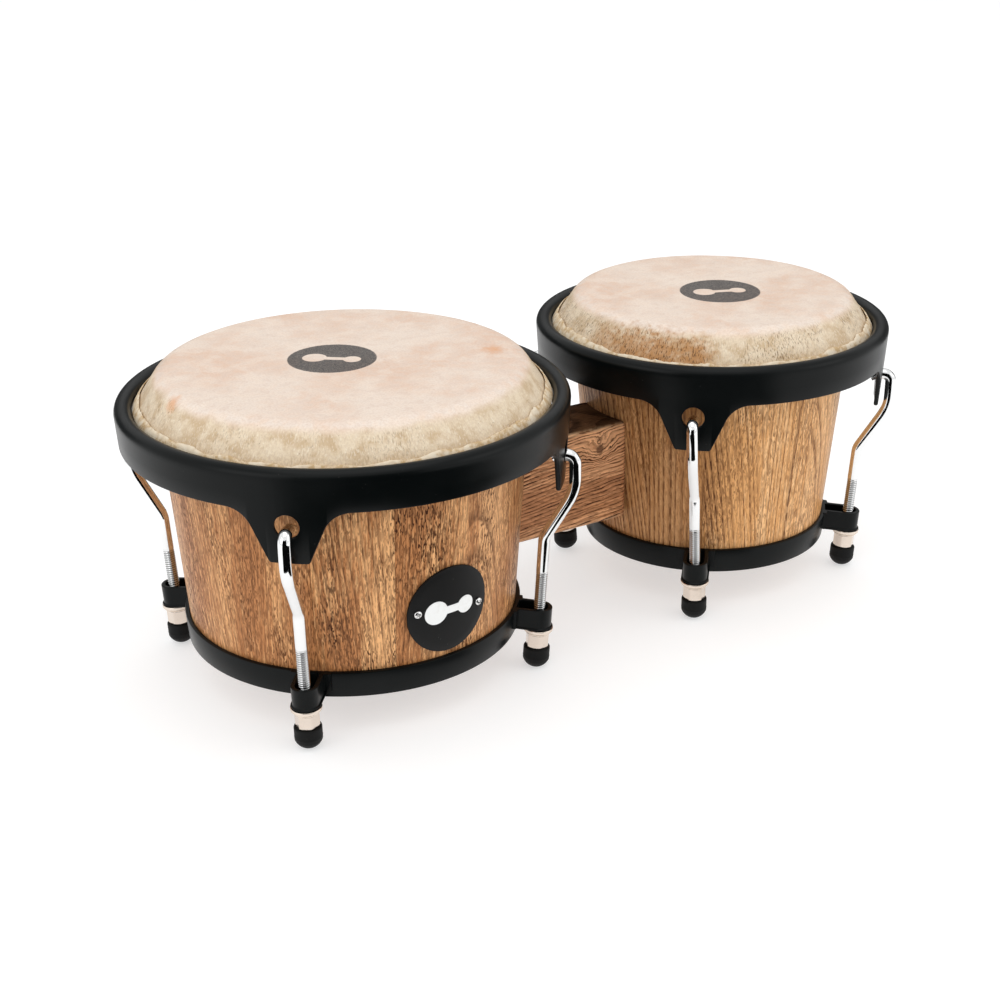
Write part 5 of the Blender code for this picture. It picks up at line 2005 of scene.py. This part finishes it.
def make_badge_sign(drum):
    """A plain raised sign of two drums from above, a large and a small one, joined."""
    front = 2 * GAP + BADGE_THICK
    rings = []
    levels = ((0, -SIGN_SOFT), (0, SIGN_RISE - SIGN_SOFT), (SIGN_SOFT, SIGN_RISE))
    for inset, out in levels:
        spots = [(centre, radius - inset) for centre, radius in (SIGN_LARGE, SIGN_SMALL)]
        outline = sign_outline(*spots, SIGN_HALF_BAR - inset)
        rings.append([(x, y, out) for x, y in outline])
    bm = capped(rings)
    # cut into strips a millimetre wide, so that the sign follows the curve of the plate
    for k in range(-14, 15):
        everything = list(bm.verts) + list(bm.edges) + list(bm.faces)
        bmesh.ops.bisect_plane(bm, geom=everything, plane_co=(k * MM, 0, 0), plane_no=(1, 0, 0))
    for vert in bm.verts:
        vert.co = on_shell(drum, vert.co.x, vert.co.y, front + vert.co.z)
    return piece("badge_sign", mesh_from(bm), "enamel", [], "base")


def make_screw(drum, number, side):
    """A small round-headed screw with a cross recess."""
    seat = 3 * GAP + BADGE_THICK
    head, tall, wall = SCREW_HEAD_RADIUS, 1.2 * MM, 0.15 * MM
    profile = [(0, -SCREW_LENGTH), (0.3 * MM, -SCREW_LENGTH), (SCREW_SHANK_RADIUS, -4.2 * MM)]
    profile += [(SCREW_SHANK_RADIUS, seat), (head - 0.1 * MM, seat), (head, seat + wall)]
    for k in range(1, 7):
        turn = QUARTER * k / 7
        z = seat + wall + (tall - wall) * math.sin(turn)
        profile.append((head * math.cos(turn), z))
    profile.append((0, seat + tall))
    where = screw_frame(drum, side)
    screw = mesh_from(turned_solid(profile, FINE_STEPS), where)
    tools = []
    for turn in (0, QUARTER):
        bm = bmesh.new()
        bmesh.ops.create_cube(bm, size=1)
        size = Matrix.Diagonal((2.6 * MM, 0.55 * MM, 1.4 * MM, 1))
        high = Matrix.Translation((0, 0, seat + tall))
        swing = Matrix.Rotation(turn + 0.5 * number, 4, "Z")
        tools.append(mesh_from(bm, where @ high @ swing @ size))
    mesh = carved(screw, tools)
    nodes = [f"badge_screw_{number}"]
    return piece(f"cross_screw_{number}", mesh, "screw_chrome", nodes, "base")


# ---- studio -------------------------------------------------------------------------


def make_floor():
    bm = bmesh.new()
    bmesh.ops.create_grid(bm, x_segments=8, y_segments=8, size=FLOOR_HALF)
    floor = bpy.data.objects.new("studio_floor", mesh_from(bm))
    f = Finish("studio_white")
    cloud = f.noise(f.place, scale=3.0)
    f.shader.inputs["Emission Color"].default_value = (1, 1, 1, 1)
    f.shader.inputs["Emission Strength"].default_value = FLOOR_GLOW
    colour = f.mix(cloud, (0.53, 0.53, 0.53, 1), (0.56, 0.56, 0.56, 1))
    rough = f.ramp(cloud, 0, 1, 0.7, 0.8)
    floor.data.materials.append(f.surface(colour, rough, cloud, 0.01 * MM))
    if floor.data.polygons[0].normal.z < 0:
        floor.data.flip_normals()
    bpy.context.collection.objects.link(floor)


def make_light(name, place, target, size, power):
    lamp = bpy.data.lights.new(name, "AREA")
    lamp.shape = "RECTANGLE"
    lamp.size = lamp.size_y = size
    lamp.energy = power
    obj = bpy.data.objects.new(name, lamp)
    bpy.context.collection.objects.link(obj)
    way = Vector(target) - Vector(place)
    obj.matrix_world = (
        Matrix.Translation(place) @ way.to_track_quat("-Z", "Y").to_matrix().to_4x4()
    )


def make_world():
    world = bpy.data.worlds.new("studio")
    bpy.context.scene.world = world
    world.use_nodes = True
    shader = world.node_tree.nodes["Background"]
    shader.inputs["Color"].default_value = (1, 1, 1, 1)
    shader.inputs["Strength"].default_value = WORLD_STRENGTH


def make_card(name, centre_x, direction, half, near, far, height, shade):
    """A dark card, seen only in reflections: flat near the floor, then up its far edge.

    It reaches half degrees to either side of its direction, round the drum at centre_x.
    """
    bm = bmesh.new()
    steps = 24
    loops = []
    low = near / 50
    for radius, z in ((near, low), (far, low), (far, height)):
        loop = []
        for k in range(steps + 1):
            angle = math.radians(direction + half * (2 * k / steps - 1))
            x, y, z = polar(radius, angle, z)
            loop.append(bm.verts.new((centre_x + x, y, z)))
        loops.append(loop)
    for lower, upper in zip(loops, loops[1:]):
        for k in range(steps):
            bm.faces.new((lower[k], lower[k + 1], upper[k + 1], upper[k]))
    mesh = bpy.data.meshes.new(name)
    bm.to_mesh(mesh)
    bm.free()
    card = bpy.data.objects.new(name, mesh)
    f = Finish(name + "_cloth", Specular_IOR_Level=0.0)
    weave = f.noise(f.place, scale=300.0)
    mesh.materials.append(f.surface((shade, shade, shade, 1), 0.9, weave, 0.1 * MM))
    card.visible_camera = card.visible_diffuse = card.visible_shadow = False
    bpy.context.collection.objects.link(card)


WORLD_STRENGTH = 0.92
FLOOR_GLOW = 0.55  # like a light table, so that the set casts only faint shadows
FLOOR_HALF = 6
CARDS = (
    # name, centre, direction, half, near, far, height, shade
    ("left_black_card", LARGE.centre_x, 242, 27, 0.23, 1.6, 1.0, 0.002),
    ("right_black_card", SMALL.centre_x, 244, 26, 0.2, 1.5, 0.9, 0.002),
    ("grey_card", LARGE.centre_x, 64, 62, 0.75, 4.0, 1.5, 0.12),
)
LIGHTS = (
    # name, place, target, size, power
    ("top_softbox", (-0.1, -0.25, 1.7), (0, 0, 0.1), 1.4, 4.5),
    ("left_softbox", (-1.5, -0.4, 0.8), (-0.05, 0, 0.1), 1.0, 3),
    ("right_softbox", (1.2, -1.2, 0.9), (0.05, 0, 0.1), 0.9, 2.5),
)


def make_studio():
    make_floor()
    make_world()
    for card in CARDS:
        make_card(*card)
    for light in LIGHTS:
        make_light(*light)
    bpy.context.scene.view_settings.view_transform = "Standard"


# ---- the whole set ------------------------------------------------------------------


def build():
    make_camera()
    make_studio()
    for drum in DRUMS:
        make_shell(drum)
        skin = make_skin(drum)
        make_skin_edge(drum)
        make_stubble(drum, skin)
        make_hoop(drum)
        make_rim(drum)
        make_lug_band(drum)
        make_hooks(drum)
        make_hardware(drum)
    make_block()
    make_bolts()
    make_badge(LARGE)
    make_badge_sign(LARGE)
    for number, side in enumerate((-1, 1), start=1):
        make_screw(LARGE, number, side)


build()
